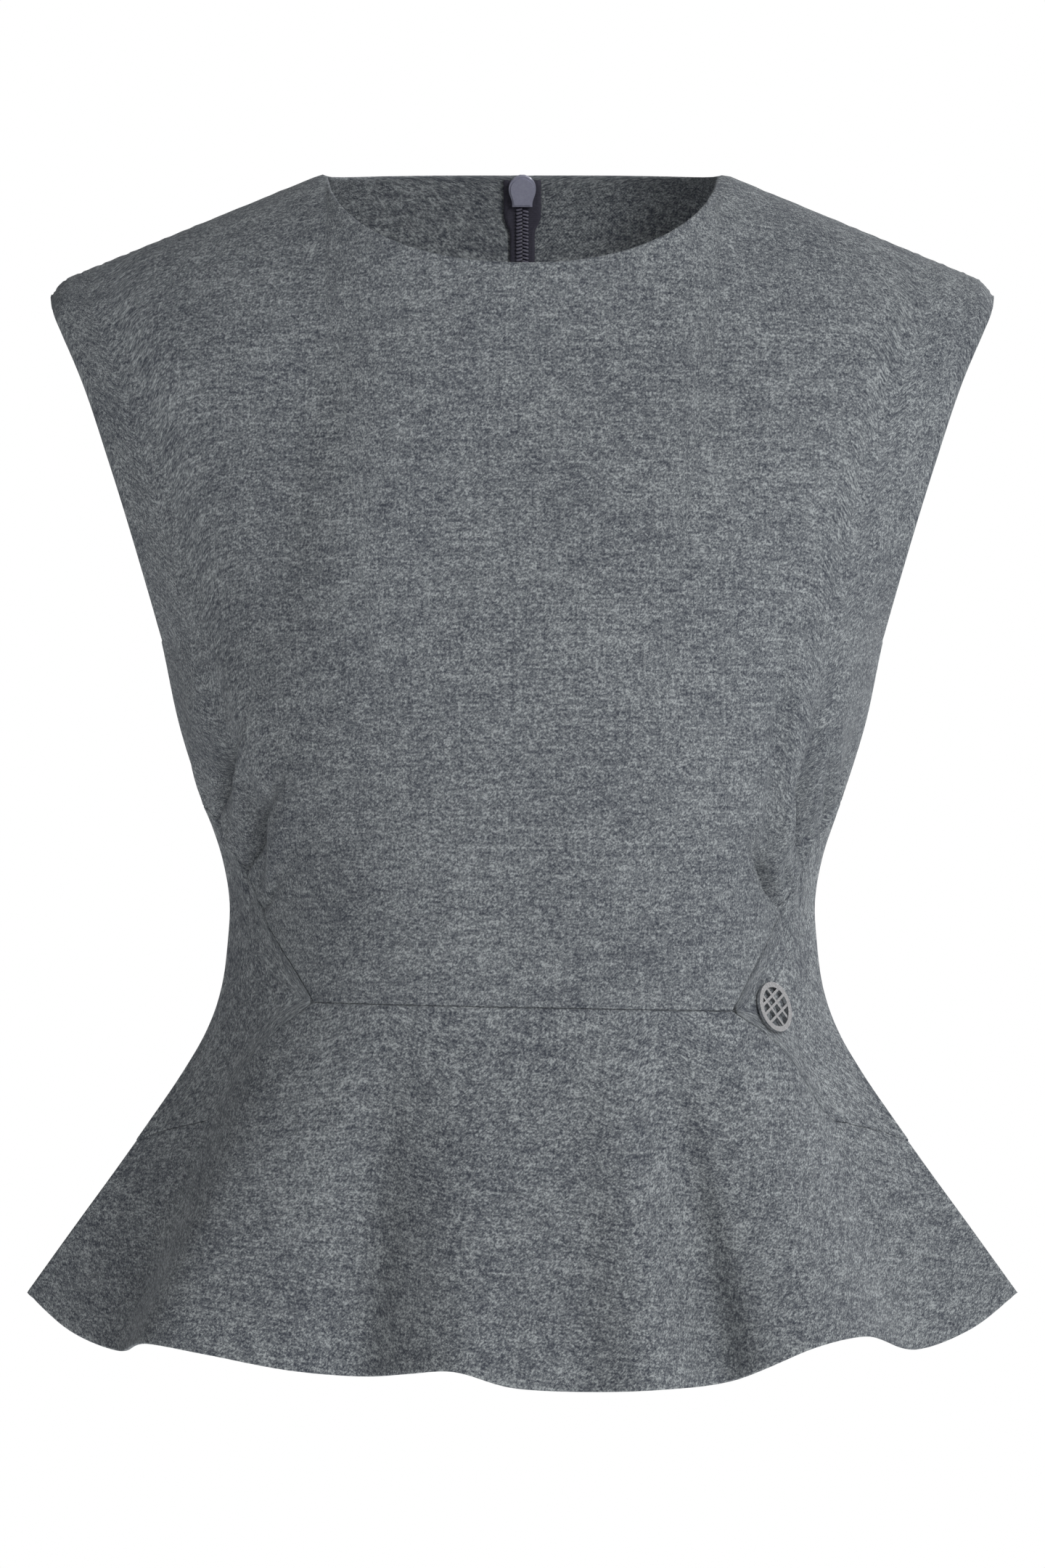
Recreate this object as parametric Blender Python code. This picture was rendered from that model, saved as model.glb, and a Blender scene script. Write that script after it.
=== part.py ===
"""A sleeveless peplum top in grey wool flannel, filled out as it is worn.

The top has a front, two backs, a pieced inset at each side of the waist and a peplum in three panels.
It closes at the centre back with a concealed zip, and a round badge sits on one inset.

Frame: x runs across the body, y from front (negative) to back (positive), z up, and z = 0 is the
level where the shoulder seams meet the neckline. Sizes below are in millimetres, angles in degrees.

Every panel lies on one surface. A place on it is an angle, 0 at the centre line and 90 at the side
seam (negative on the other side), a height z, and a face: FRONT or BACK.
"""

import math

import bmesh
import bpy
import numpy as np
from mathutils import Matrix, Vector

MM = 0.001
FRONT = -1
BACK = 1

# Cloth and seams
WALL = 2.0
SEAM_GAP = 0.3
STEEP_SEAM_EXTRA = 0.2

# Neck, shoulders and armholes
NECK_HALF_WIDTH = 93.0
FRONT_NECK_DROP = 44.9
FRONT_NECK_POWERS = (2.2, 1.8)
BACK_NECK_RISE = 3.0
BACK_NECK_POWER = 3.2
SHOULDER_START = 96.5
SHOULDER_SLOPE = 0.411
NECK_SLOPE = 1.1
SHOULDER_TIP_HALF_WIDTH = 224.3
SHOULDER_TIP_RADIUS = 10.0
SHOULDER_TIP_Z = -58.0
ARCH_HEIGHT = 80.0
ARMHOLE_WIDEST_Z = -130.0
UNDERARM_Z = -222.0
UNDERARM_ROW_DROP = 0.5
ARMHOLE_DEPTH = {FRONT: 50.0, BACK: 56.0}

# Waist
WAIST_SEAM_TILT = -2.1
PEPLUM_START_Z = -396.0
INSET_POINT = 42.7
TILT_ENDS = 60.0

# Outline seen from the front: height, half width
OUTLINE = (
    (-531.0, 236.3),
    (-500.0, 213.8),
    (-469.0, 191.1),
    (-448.0, 176.2),
    (-427.5, 162.2),
    (-407.0, 150.3),
    (-396.0, 145.8),
    (-386.0, 143.0),
    (-365.0, 140.1),
    (-345.0, 139.2),
    (-324.0, 142.8),
    (-303.0, 149.7),
    (-262.0, 162.7),
    (-220.0, 171.8),
    (-179.0, 182.9),
    (-137.7, 195.4),
    (-96.0, 209.6),
    (-76.0, 218.3),
    (-66.0, 222.6),
    (-58.0, 224.3),
)

# Sections of the body: height, front depth, back depth, power across, power in depth
SECTIONS = (
    (-396.0, 110.0, 88.0, 3.0, 1.40),
    (-345.0, 103.0, 82.0, 2.8, 1.50),
    (-300.0, 110.0, 84.0, 2.5, 1.75),
    (-230.0, 120.0, 89.0, 2.4, 1.95),
    (-180.0, 114.0, 92.0, 2.4, 2.00),
    (-100.0, 92.0, 88.0, 2.4, 2.00),
    (-42.0, 74.0, 77.0, 2.4, 2.00),
    (3.0, 64.0, 67.0, 2.4, 2.00),
)

# Inset seams on either side: angle, upper seam height, lower seam height
INSET_SEAMS = (
    (42.7, -393.7, -393.7),
    (46.0, -386.0, -398.5),
    (50.0, -376.5, -404.5),
    (54.5, -366.5, -414.0),
    (59.0, -357.0, -429.0),
    (61.0, -352.5, -439.0),
    (64.0, -346.0, -446.5),
    (69.0, -332.5, -449.5),
    (74.0, -315.0, -451.5),
    (80.0, -303.5, -453.5),
    (90.0, -297.0, -459.0),
)

# Hem of the peplum, through its flutes: angle, x, y, z
FRONT_HEM = (
    (-90.0, -236.3, 0.0, -531.0),
    (-76.0, -214.0, -20.0, -549.0),
    (-64.0, -192.0, -40.0, -557.0),
    (-50.0, -174.5, -117.0, -550.5),
    (-41.0, -146.0, -132.0, -555.0),
    (-33.0, -108.0, -136.0, -562.0),
    (-26.0, -75.0, -130.0, -565.0),
    (-20.0, -55.0, -151.0, -563.0),
    (-14.0, -37.0, -165.0, -561.0),
    (0.0, -2.0, -166.0, -569.0),
    (9.0, 27.0, -161.0, -570.7),
    (19.0, 64.0, -165.0, -569.6),
    (26.0, 92.0, -128.0, -568.5),
    (33.0, 112.0, -144.0, -561.0),
    (41.0, 136.0, -138.0, -551.5),
    (50.0, 160.0, -106.0, -547.5),
    (64.0, 186.5, -50.0, -556.0),
    (76.0, 212.0, -24.0, -548.0),
    (90.0, 236.3, 0.0, -531.0),
)
BACK_HEM = (
    (-90.0, -236.3, 0.0, -531.0),
    (-73.0, -213.0, 38.0, -544.0),
    (-58.0, -181.0, 60.0, -551.0),
    (-45.0, -160.0, 114.0, -546.0),
    (-30.0, -103.0, 134.0, -553.0),
    (-16.0, -62.0, 168.0, -549.0),
    (0.0, 0.0, 151.0, -556.0),
    (15.0, 58.0, 170.0, -548.0),
    (31.0, 110.0, 131.0, -554.0),
    (46.0, 166.0, 111.0, -545.0),
    (60.0, 184.0, 57.0, -551.0),
    (75.0, 216.0, 33.0, -543.0),
    (90.0, 236.3, 0.0, -531.0),
)

# Gathers above the insets: face, angle at the seam, angle at the top, rise, half width, height
GATHERS = (
    (FRONT, -77.5, -54.0, 52.0, 6.0, -4.0),
    (FRONT, -73.0, -46.0, 74.0, 8.5, 3.6),
    (FRONT, -69.5, -48.0, 48.0, 5.5, -4.6),
    (FRONT, -65.0, -42.0, 56.0, 8.0, 3.2),
    (FRONT, -84.0, -68.0, 60.0, 9.0, 2.4),
    (FRONT, 63.0, 46.0, 36.0, 6.0, -4.2),
    (FRONT, 67.0, 48.0, 70.0, 8.0, 3.6),
    (FRONT, 71.0, 58.0, 50.0, 6.0, -4.4),
    (FRONT, 76.5, 61.0, 66.0, 8.0, 3.2),
    (FRONT, 82.0, 75.0, 40.0, 6.5, -2.6),
    (BACK, -80.0, -66.0, 46.0, 6.5, -3.8),
    (BACK, -75.0, -57.0, 70.0, 8.5, 3.6),
    (BACK, -69.5, -55.0, 40.0, 6.0, -4.2),
    (BACK, -64.0, -50.0, 50.0, 8.0, 2.8),
    (BACK, 63.0, 50.0, 40.0, 6.0, -4.0),
    (BACK, 68.0, 52.0, 64.0, 8.5, 3.6),
    (BACK, 73.5, 62.0, 44.0, 6.0, -4.2),
    (BACK, 79.0, 67.0, 60.0, 8.0, 3.0),
)
SPREAD_PER_DEGREE = 2.2

# Near the plane of the side and shoulder seams the wall is square to that plane
SEAM_PLANE_REACH = 8.0

# Panel columns from the centre line to the side seam, and rows from the bottom seam up
COLUMNS = (0, 3.5, 9, 15, 20, 23, 24.5, 28, 35, 42.7, 44.2, 48, 52.5, 57, 61, 65, 69, 73, 77, 81, 85.5, 90)
ARCH_ROWS = (75, 60, 45, 30, 15, 0)
ARCH_SHARE = 0.2
LOWER_ROWS = (0, 0.04, 0.08, 0.125, 0.175, 0.23)
MIDDLE_ROWS = (0.33, 0.36, 0.41, 0.5, 0.6, 0.7, 0.8)
PEPLUM_ROWS = (0, 0.17, 0.36, 0.57, 0.78, 1)
INSET_ROWS = (0, 0.25, 0.5, 0.75, 1)

# Zip
ZIP_END_Z = -441.0
ZIP_SLIT = 1.2
SLIT_OPENS_Z = (-18.0, -8.0)
TAPE_WIDTH = 6.0
TAPE_TOP_WIDTH = 9.0
TAPE_TOP_Z = (-24.0, -16.0)
TAPE_LAYER = (-2.35, -2.95)
CHAIN_HALF_WIDTH = 2.7
CHAIN_LAYER = (-3.25, -4.45)
SLIDER_Z = -2.4
SLIDER_LENGTH = 16.2
SLIDER_DROP = 8.2
SLIDER_WIDTHS = (
    (0.0, 4.8),
    (0.14, 4.9),
    (0.3, 5.6),
    (0.45, 6.3),
    (0.58, 6.5),
    (0.72, 6.1),
    (0.85, 4.9),
    (0.94, 3.2),
    (1.0, 1.2),
)
SLIDER_LAYER = (-3.9, -6.2)
STEM_WIDTH = 1.6
STEM_HEIGHT = 3.6
EYE_RADIUS = 2.2
EYE_HOLE = 1.05
EYE_STANDOFF = 2.6
PULL_THICKNESS = 1.1
PULL_OUTLINE = ((0.6, 2.5), (-3.4, 2.5), (-6.0, 2.0), (-9.5, 2.3), (-14.0, 3.3), (-17.0, 3.1), (-19.0, 1.4))
PULL_WINDOW = (1.4, -0.55, -3.0)
PULL_LEAN = 5.0

# Badge
BADGE_ANGLE = 53.9
BADGE_Z = -394.7
BADGE_RADIUS = 12.0
BADGE_BAND = 2.5
BADGE_THICKNESS = 1.7
BADGE_LIFT = 0.7
BADGE_BAR_WIDTH = 1.3
BADGE_BARS = ((-3.6, 28.0), (1.2, 28.0), (5.2, 28.0), (-2.6, -52.0), (3.0, -52.0))
BADGE_SEGMENTS = 40

# Colours and finish: base colour, roughness, metallic
FLANNEL = ((0.152, 0.165, 0.180), 0.95, 0.0)
TAPE = ((0.048, 0.046, 0.068), 0.85, 0.0)
CHAIN = ((0.12, 0.115, 0.155), 0.45, 0.0)
SLIDER = ((0.33, 0.335, 0.43), 0.40, 0.0)
METAL = ((0.52, 0.52, 0.53), 0.28, 1.0)


def spline(knots, values, at):
    """Smooth curve through a table: cubic pieces that share their slope at every row."""
    knots = np.asarray(knots, float)
    values = np.asarray(values, float)
    slopes = np.gradient(values, knots)
    at = np.clip(at, knots[0], knots[-1])
    i = np.clip(np.searchsorted(knots, at) - 1, 0, len(knots) - 2)
    step = knots[i + 1] - knots[i]
    t = (at - knots[i]) / step
    rise = t * t * (3 - 2 * t)
    bend_low = t * (1 - t) ** 2 * step * slopes[i]
    bend_high = t * t * (t - 1) * step * slopes[i + 1]
    return values[i] + (values[i + 1] - values[i]) * rise + bend_low + bend_high


def column(table, index, at):
    """One column of a table, read smoothly at the places given."""
    rows = np.array(table, float)
    return spline(rows[:, 0], rows[:, index], at)


def ease(low, high, at):
    """0 below low, 1 above high and a soft step between."""
    t = np.clip((at - low) / (high - low), 0, 1)
    return t * t * (3 - 2 * t)


def half_width(z):
    """Half the width of the outline at a height."""
    return column(OUTLINE, 1, z)


def shoulder_ridge(x):
    """Height of the shoulder seam at x, carried on upward inside the neck opening."""
    out = np.abs(x)
    inside = NECK_SLOPE / 2 * np.maximum(NECK_HALF_WIDTH - out**2 / NECK_HALF_WIDTH, 0)
    outside = SHOULDER_SLOPE * np.maximum(out - SHOULDER_START, 0)
    over = np.clip(out - (SHOULDER_TIP_HALF_WIDTH - SHOULDER_TIP_RADIUS), 0, 0.86 * SHOULDER_TIP_RADIUS)
    corner = SHOULDER_TIP_RADIUS - np.sqrt(SHOULDER_TIP_RADIUS**2 - over**2)
    return inside - outside - corner


def body_depth(x, z, face):
    """How far in front of or behind the side seams the body's cloth lies."""
    depth = column(SECTIONS, 1 if face == FRONT else 2, z)
    across = column(SECTIONS, 3, z)
    power = column(SECTIONS, 4, z)
    below = np.clip((ARMHOLE_WIDEST_Z - z) / (ARMHOLE_WIDEST_Z - UNDERARM_Z), 0, 1)
    edge = ARMHOLE_DEPTH[face] * np.sqrt(1 - below**2)
    full_width = half_width(z) / (1 - (edge / depth) ** power) ** (1 / across)
    section = depth * np.clip(1 - np.abs(x / full_width) ** across, 0, 1) ** (1 / power)
    arch = np.clip((shoulder_ridge(x) - z) / ARCH_HEIGHT, 0, 1)
    return section * np.sqrt(1 - (1 - arch) ** 2)


def body_point(angle, z, face):
    """A point of the bodice surface."""
    x = np.sin(np.radians(angle)) * half_width(z)
    return np.stack([x, face * body_depth(x, z, face), z + 0 * x], axis=-1)


def hem_point(angle, face):
    """A point of the hem."""
    table = FRONT_HEM if face == FRONT else BACK_HEM
    return np.stack([column(table, i, angle) for i in (1, 2, 3)], axis=-1)


def flare(share):
    """How much of the peplum's spread is reached at a share of its length, read from the outline."""
    top = PEPLUM_START_Z
    bottom = OUTLINE[0][0]
    start = half_width(top)
    return (half_width(top + (bottom - top) * share) - start) / (half_width(bottom) - start)


def surface(angle, z, face):
    """A point of the cloth's outer surface: the body, and below its lower end the fluted peplum."""
    angle = np.asarray(angle, float)
    z = np.asarray(z, float)
    body = body_point(angle, np.maximum(z, PEPLUM_START_Z), face)
    hem = hem_point(angle, face)
    drop = np.maximum(PEPLUM_START_Z - z, 0)
    share = drop / (PEPLUM_START_Z - hem[..., 2])
    spread = flare(np.clip(share, 0, 1))[..., None]
    point = body + (hem - body) * spread
    point[..., 2] = z
    return point


def seam_height(angle, face, index):
    """Height of an inset seam, or of the waist seam inside the inset points."""
    out = np.abs(angle)
    seam = column(INSET_SEAMS, index, out)
    tilt = WAIST_SEAM_TILT * np.clip(angle / INSET_POINT, -1, 1) * (1 - ease(INSET_POINT, TILT_ENDS, out))
    return seam + (tilt if face == FRONT else 0)


def bodice_bottom(angle, face):
    return seam_height(angle, face, 1)


def peplum_top(angle, face):
    return seam_height(angle, face, 2)


def bodice_top(angle, face):
    """Height of the neckline, or of the shoulder seam outside it."""
    x = np.sin(np.radians(angle)) * SHOULDER_TIP_HALF_WIDTH
    share = np.clip(np.abs(x) / NECK_HALF_WIDTH, 0, 1)
    if face == FRONT:
        power_in, power_out = FRONT_NECK_POWERS
        neck = -FRONT_NECK_DROP * (1 - share**power_in) ** (1 / power_out)
    else:
        neck = BACK_NECK_RISE * (1 - share**BACK_NECK_POWER)
    return np.where(np.abs(x) < NECK_HALF_WIDTH, neck, np.minimum(shoulder_ridge(x), 0))


def gather_height(angle, z, face):
    """How far the gathers lift or sink the cloth at a place above an inset."""
    lift = np.zeros(np.broadcast(angle, z).shape)
    for side, at_seam, at_top, rise, width, height in GATHERS:
        if side != face:
            continue
        along = (z - bodice_bottom(at_seam, face)) / rise
        middle = at_seam + (at_top - at_seam) * along
        spread = width * (0.7 + 0.6 * np.clip(along, 0, 1))
        across = (angle - middle) * SPREAD_PER_DEGREE / spread
        fade = (0.55 + 0.45 * ease(0, 0.25, along)) * (1 - ease(0.3, 1.1, along))
        lift = lift + height * np.exp(-across**2) * fade
    return lift


def normals(angle, z, face):
    """Unit normals that point out of the body."""
    turn = 0.4
    drop = 0.8
    toward_centre = np.where(angle >= 0, -turn, turn)
    at = surface(angle, z, face)
    around = (at - surface(angle + toward_centre, z, face)) * np.where(angle >= 0, 1, -1)[..., None]
    down = at - surface(angle, z - drop, face)
    normal = np.cross(around, down) * -face
    normal[..., 1] = normal[..., 1] * ease(0, SEAM_PLANE_REACH, np.abs(at[..., 1]))
    return normal / np.linalg.norm(normal, axis=-1, keepdims=True)


def cloth_point(angle, z, face, out, gathered):
    """A point moved out of the surface along its normal, with the gathers where they belong."""
    lift = out + (gather_height(angle, z, face) if gathered else 0)
    return surface(angle, z, face) + normals(angle, z, face) * np.asarray(lift)[..., None]


def slit_half_gap(z):
    """Half the distance between the two backs: closed, and open at the top for the zip's slider."""
    return SEAM_GAP / 2 + (ZIP_SLIT - SEAM_GAP / 2) * ease(SLIT_OPENS_Z[0], SLIT_OPENS_Z[1], z)


def material(name, finish):
    """A plain Principled material."""
    colour, roughness, metallic = finish
    made = bpy.data.materials.new(name)
    made.use_nodes = True
    shader = made.node_tree.nodes["Principled BSDF"]
    shader.inputs["Base Color"].default_value = (*colour, 1)
    shader.inputs["Roughness"].default_value = roughness
    shader.inputs["Metallic"].default_value = metallic
    made.diffuse_color = (*colour, 1)
    return made


def finish_object(name, mesh_builder, finish, place=None):
    """Turns a bmesh in millimetres into a named object in metres."""
    bmesh.ops.recalc_face_normals(mesh_builder, faces=mesh_builder.faces)
    if place is not None:
        mesh_builder.transform(place)
    mesh_builder.transform(Matrix.Scale(MM, 4))
    mesh = bpy.data.meshes.new(name)
    mesh_builder.to_mesh(mesh)
    mesh_builder.free()
    mesh.materials.append(finish)
    mesh.shade_smooth()
    mesh.set_sharp_from_angle(angle=math.radians(40))
    made = bpy.data.objects.new(name, mesh)
    bpy.context.scene.collection.objects.link(made)
    return made


def wall(outer, inner):
    """A closed wall between two grids of points of the same size."""
    rows, columns = outer.shape[:2]
    builder = bmesh.new()
    skins = [[[builder.verts.new(p) for p in line] for line in grid] for grid in (outer, inner)]
    for skin in skins:
        for i in range(rows - 1):
            for j in range(columns - 1):
                builder.faces.new((skin[i][j], skin[i][j + 1], skin[i + 1][j + 1], skin[i + 1][j]))
    ring = [(0, j) for j in range(columns)] + [(i, columns - 1) for i in range(1, rows)]
    ring += [(rows - 1, j) for j in range(columns - 2, -1, -1)] + [(i, 0) for i in range(rows - 2, 0, -1)]
    for (i, j), (k, m) in zip(ring, ring[1:] + ring[:1]):
        builder.faces.new((skins[0][i][j], skins[0][k][m], skins[1][k][m], skins[1][i][j]))
    return builder


def seam_allowance(angles, faces, heights):
    """How far an edge stands off a seam, so that the gap measured across the seam stays even."""
    points = np.array([surface(a, z, f) for a, f, z in zip(angles, faces, heights)])
    run = np.hypot(np.diff(points[:, 0]), np.diff(points[:, 1]))
    slope = np.abs(np.diff(heights)) / np.maximum(run, 1e-6)
    steepest = np.maximum(np.append(slope, 0), np.insert(slope, 0, 0))
    return SEAM_GAP / 2 * (np.sqrt(1 + steepest**2) + STEEP_SEAM_EXTRA * steepest)


def panel(name, places, bottom, top, rows, finish, seams=(True, True), gathered=False, half=None):
    """A cloth panel: a wall over columns of the surface between a bottom and a top curve.

    places holds (angle, face) for each column, seams says whether the bottom and the top are sewn,
    and half is -1 or 1 for a back that ends at the centre line.
    """
    angles = np.array([a for a, _ in places], float)
    faces = [f for _, f in places]
    low = np.array([float(bottom(a, f)) for a, f in places])
    high = np.array([float(top(a, f)) for a, f in places])
    if seams[0]:
        low = low + seam_allowance(angles, faces, low)
    if seams[1]:
        high = high - seam_allowance(angles, faces, high)
    grids = []
    for out in (0.0, -WALL):
        grid = np.zeros((len(rows), len(places), 3))
        for j, (angle, face) in enumerate(places):
            z = low[j] + (high[j] - low[j]) * np.array(rows, float)
            grid[:, j] = cloth_point(np.full(len(rows), float(angle)), z, face, out, gathered)
        one_face = len(set(faces)) == 1
        if one_face:
            grid[..., 1] = faces[0] * np.maximum(faces[0] * grid[..., 1], SEAM_GAP / 2)
        if half:
            edge = slit_half_gap(grid[..., 2])
            grid[..., 0] = half * np.maximum(half * grid[..., 0], edge)
        grids.append(grid)
    return finish_object(name, wall(*grids), finish)


def bodice_rows():
    """Rows of the bodice, close together at the gathers, the underarm and the shoulder arch."""
    tip = SHOULDER_TIP_Z
    side_bottom = INSET_SEAMS[-1][1]
    underarm = (UNDERARM_Z - UNDERARM_ROW_DROP - side_bottom) / (tip - side_bottom)
    arch = [1 - ARCH_SHARE * (1 - math.cos(math.radians(a))) for a in ARCH_ROWS]
    return [*LOWER_ROWS, underarm, *MIDDLE_ROWS, *arch]


def mirrored(columns):
    return [-c for c in reversed(columns[1:])] + list(columns)


def make_bodice(finish):
    """The front in one piece, and two backs that meet at the zip."""
    rows = bodice_rows()
    front = [(a, FRONT) for a in mirrored(COLUMNS)]
    panel("bodice_front", front, bodice_bottom, bodice_top, rows, finish, (True, False), True)
    for side, half in (("left", -1), ("right", 1)):
        places = [(half * a, BACK) for a in COLUMNS]
        name = f"bodice_back_{side}"
        panel(name, places, bodice_bottom, bodice_top, rows, finish, (True, False), True, half)


def make_insets(finish):
    """One inset at each side, from its front point round the side to its back point."""
    outer = [a for a in COLUMNS if a > INSET_POINT]
    for side, half in (("left", -1), ("right", 1)):
        ahead = [(half * a, FRONT) for a in outer]
        behind = [(half * a, BACK) for a in reversed(outer[:-1])]
        panel(f"side_inset_{side}", ahead + behind, peplum_top, bodice_bottom, INSET_ROWS, finish)


def hem_height(angle, face):
    return hem_point(angle, face)[..., 2]


def make_peplum(finish):
    """The peplum's front in one piece and its back in two."""
    front = [(a, FRONT) for a in mirrored(COLUMNS)]
    panel("peplum_front", front, hem_height, peplum_top, PEPLUM_ROWS, finish, (False, True))
    for side, half in (("left", -1), ("right", 1)):
        places = [(half * a, BACK) for a in COLUMNS]
        name = f"peplum_back_{side}"
        panel(name, places, hem_height, peplum_top, PEPLUM_ROWS, finish, (False, True), False, half)


def zip_levels(start):
    """Heights of the backs' own rows along the centre line, from a start down to the end of the zip."""
    top = float(bodice_top(0, BACK))
    waist = float(bodice_bottom(0, BACK))
    hem = float(hem_height(0, BACK))
    levels = [waist + (top - waist) * v for v in bodice_rows()]
    levels += [hem + (waist - hem) * v for v in PEPLUM_ROWS]
    kept = [z for z in levels if ZIP_END_Z + 6 < z < start - 2]
    return np.array(sorted({round(z, 2) for z in kept} | {ZIP_END_Z, start}))


def back_strip(x_inner, x_outer, levels, layer):
    """Grids for a strip inside the back, between two distances from the centre line."""
    grids = []
    for depth in layer:
        x = np.stack([x_inner, x_outer], axis=1)
        z = np.repeat(levels[:, None], 2, axis=1)
        angle = np.degrees(np.arcsin(x / half_width(z)))
        grid = surface(angle, z, BACK) + normals(angle, z, BACK) * depth
        grid[..., 0] = x
        grids.append(grid)
    return grids


def make_zip_tapes(finish):
    """Two woven tapes along the inner edges of the backs, wider at the neck."""
    levels = zip_levels(BACK_NECK_RISE - 1.5)
    for side, half in (("left", -1), ("right", 1)):
        inner = slit_half_gap(levels) + 0.15
        outer = TAPE_WIDTH + (TAPE_TOP_WIDTH - TAPE_WIDTH) * ease(TAPE_TOP_Z[0], TAPE_TOP_Z[1], levels)
        strip = wall(*back_strip(half * inner, half * outer, levels, TAPE_LAYER))
        finish_object(f"zip_tape_{side}", strip, finish)


def slider_place():
    """The frame of the slider: x across, y up the back, z out of it."""
    at = np.array([0.0, SLIDER_Z])
    foot = surface(at[0], at[1], BACK)
    out = Vector(normals(np.array([0.0]), np.array([SLIDER_Z]), BACK)[0])
    across = Vector((-1, 0, 0))
    up = out.cross(across).normalized()
    place = Matrix((across, up, out)).transposed().to_4x4()
    place.translation = Vector(foot)
    return place


def slider_bottom():
    """Height at which the slider ends and the closed chain starts."""
    place = slider_place()
    return (place @ Vector((0, -SLIDER_DROP, SLIDER_LAYER[0]))).z


def make_zip_chain(finish):
    """The closed chain below the slider, as a plain strip."""
    levels = zip_levels(slider_bottom() - 0.5)
    edge = np.full(len(levels), CHAIN_HALF_WIDTH)
    finish_object("zip_chain", wall(*back_strip(-edge, edge, levels, CHAIN_LAYER)), finish)


def prism(outline, low, high):
    """A closed prism: an outline of (x, y) points from one level to another."""
    builder = bmesh.new()
    base = [builder.verts.new((x, y, low)) for x, y in outline]
    face = builder.faces.new(base)
    lifted = bmesh.ops.extrude_face_region(builder, geom=[face])
    tops = [g for g in lifted["geom"] if isinstance(g, bmesh.types.BMVert)]
    bmesh.ops.translate(builder, verts=tops, vec=(0, 0, high - low))
    return builder


def circle(radius, count):
    turns = [2 * math.pi * i / count for i in range(count)]
    return [(radius * math.cos(t), radius * math.sin(t)) for t in turns]


def add_boolean(target, operand, operation):
    """Joins or cuts with a helper object, which is then a hidden guide."""
    modifier = target.modifiers.new(operation.lower(), "BOOLEAN")
    modifier.operation = operation
    modifier.object = operand
    operand.hide_render = True
    operand.display_type = "WIRE"


def make_slider(finish):
    """The slider: a bulb-shaped plate inside the back, and an eye outside it on a flat stem."""
    place = slider_place()
    shares = SLIDER_WIDTHS
    right = [(w, SLIDER_LENGTH * s - SLIDER_DROP) for s, w in shares]
    left = [(-w, y) for w, y in reversed(right)]
    body = finish_object("zip_slider", prism(right + left, *sorted(SLIDER_LAYER)), finish, place)

    half = STEM_HEIGHT / 2
    stem_outline = [(-half, SLIDER_LAYER[0] - 1), (half, SLIDER_LAYER[0] - 1), (half, EYE_STANDOFF)]
    stem_outline.append((-half, EYE_STANDOFF))
    sideways = Matrix(((0, 0, 1, 0), (1, 0, 0, 0), (0, 1, 0, 0), (0, 0, 0, 1)))
    thick = STEM_WIDTH / 2
    stem = finish_object("stem_guide", prism(stem_outline, -thick, thick), finish, place @ sideways)
    eye_outline = [(y, z + EYE_STANDOFF) for y, z in circle(EYE_RADIUS, 20)]
    eye = finish_object("eye_guide", prism(eye_outline, -thick, thick), finish, place @ sideways)
    hole_outline = [(y, z + EYE_STANDOFF) for y, z in circle(EYE_HOLE, 16)]
    hole = finish_object("hole_guide", prism(hole_outline, -thick - 1, thick + 1), finish, place @ sideways)
    add_boolean(body, stem, "UNION")
    add_boolean(body, eye, "UNION")
    add_boolean(body, hole, "DIFFERENCE")


def make_pull(finish):
    """The pull tab: a teardrop plate whose top bar turns in the slider's eye."""
    place = slider_place() @ Matrix.Translation((0, 0, EYE_STANDOFF))
    place = place @ Matrix.Rotation(math.radians(PULL_LEAN), 4, "X")
    half = PULL_THICKNESS / 2
    right = [(w, y) for y, w in PULL_OUTLINE]
    left = [(-w, y) for w, y in reversed(right)]
    window_half, window_top, window_bottom = PULL_WINDOW
    hole = [(-window_half, window_bottom), (window_half, window_bottom)]
    hole += [(window_half, window_top), (-window_half, window_top)]

    pivot = bpy.data.objects.new("pull_pivot", None)
    pivot.location = place.translation * MM
    bpy.context.scene.collection.objects.link(pivot)
    turned = place.to_3x3().to_4x4()
    plate = finish_object("zip_pull", prism(right + left, -half, half), finish, turned)
    plate.parent = pivot
    window = finish_object("window_guide", prism(hole, -half - 1, half + 1), finish, turned)
    window.parent = pivot
    add_boolean(plate, window, "DIFFERENCE")


def make_badge(finish):
    """A round openwork badge: a ring with a lattice of crossing bars, flat on the inset."""
    angle = np.array([BADGE_ANGLE])
    z = np.array([BADGE_Z])
    out = Vector(normals(angle, z, FRONT)[0])
    foot = Vector(surface(angle, z, FRONT)[0]) + out * BADGE_LIFT
    up = (Vector((0, 0, 1)) - out * out.z).normalized()
    across = up.cross(out)
    place = Matrix((across, up, out)).transposed().to_4x4()
    place.translation = foot

    outer = circle(BADGE_RADIUS, BADGE_SEGMENTS)
    ring = finish_object("badge", prism(outer, 0, BADGE_THICKNESS), finish, place)
    bore = circle(BADGE_RADIUS - BADGE_BAND, BADGE_SEGMENTS)
    hole = finish_object("bore_guide", prism(bore, -1, BADGE_THICKNESS + 1), finish, place)
    add_boolean(ring, hole, "DIFFERENCE")
    reach_radius = BADGE_RADIUS - BADGE_BAND / 2
    for number, (offset, tilt) in enumerate(BADGE_BARS):
        reach = math.sqrt(reach_radius**2 - offset**2)
        half = BADGE_BAR_WIDTH / 2
        low, high = offset - half, offset + half
        bar = [(-reach, low), (reach, low), (reach, high), (-reach, high)]
        turn = place @ Matrix.Rotation(math.radians(tilt), 4, "Z")
        low, high = (0.25, BADGE_THICKNESS - 0.25) if tilt > 0 else (0.4, BADGE_THICKNESS - 0.4)
        guide = finish_object(f"bar_guide_{number}", prism(bar, low, high), finish, turn)
        add_boolean(ring, guide, "UNION")


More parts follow.
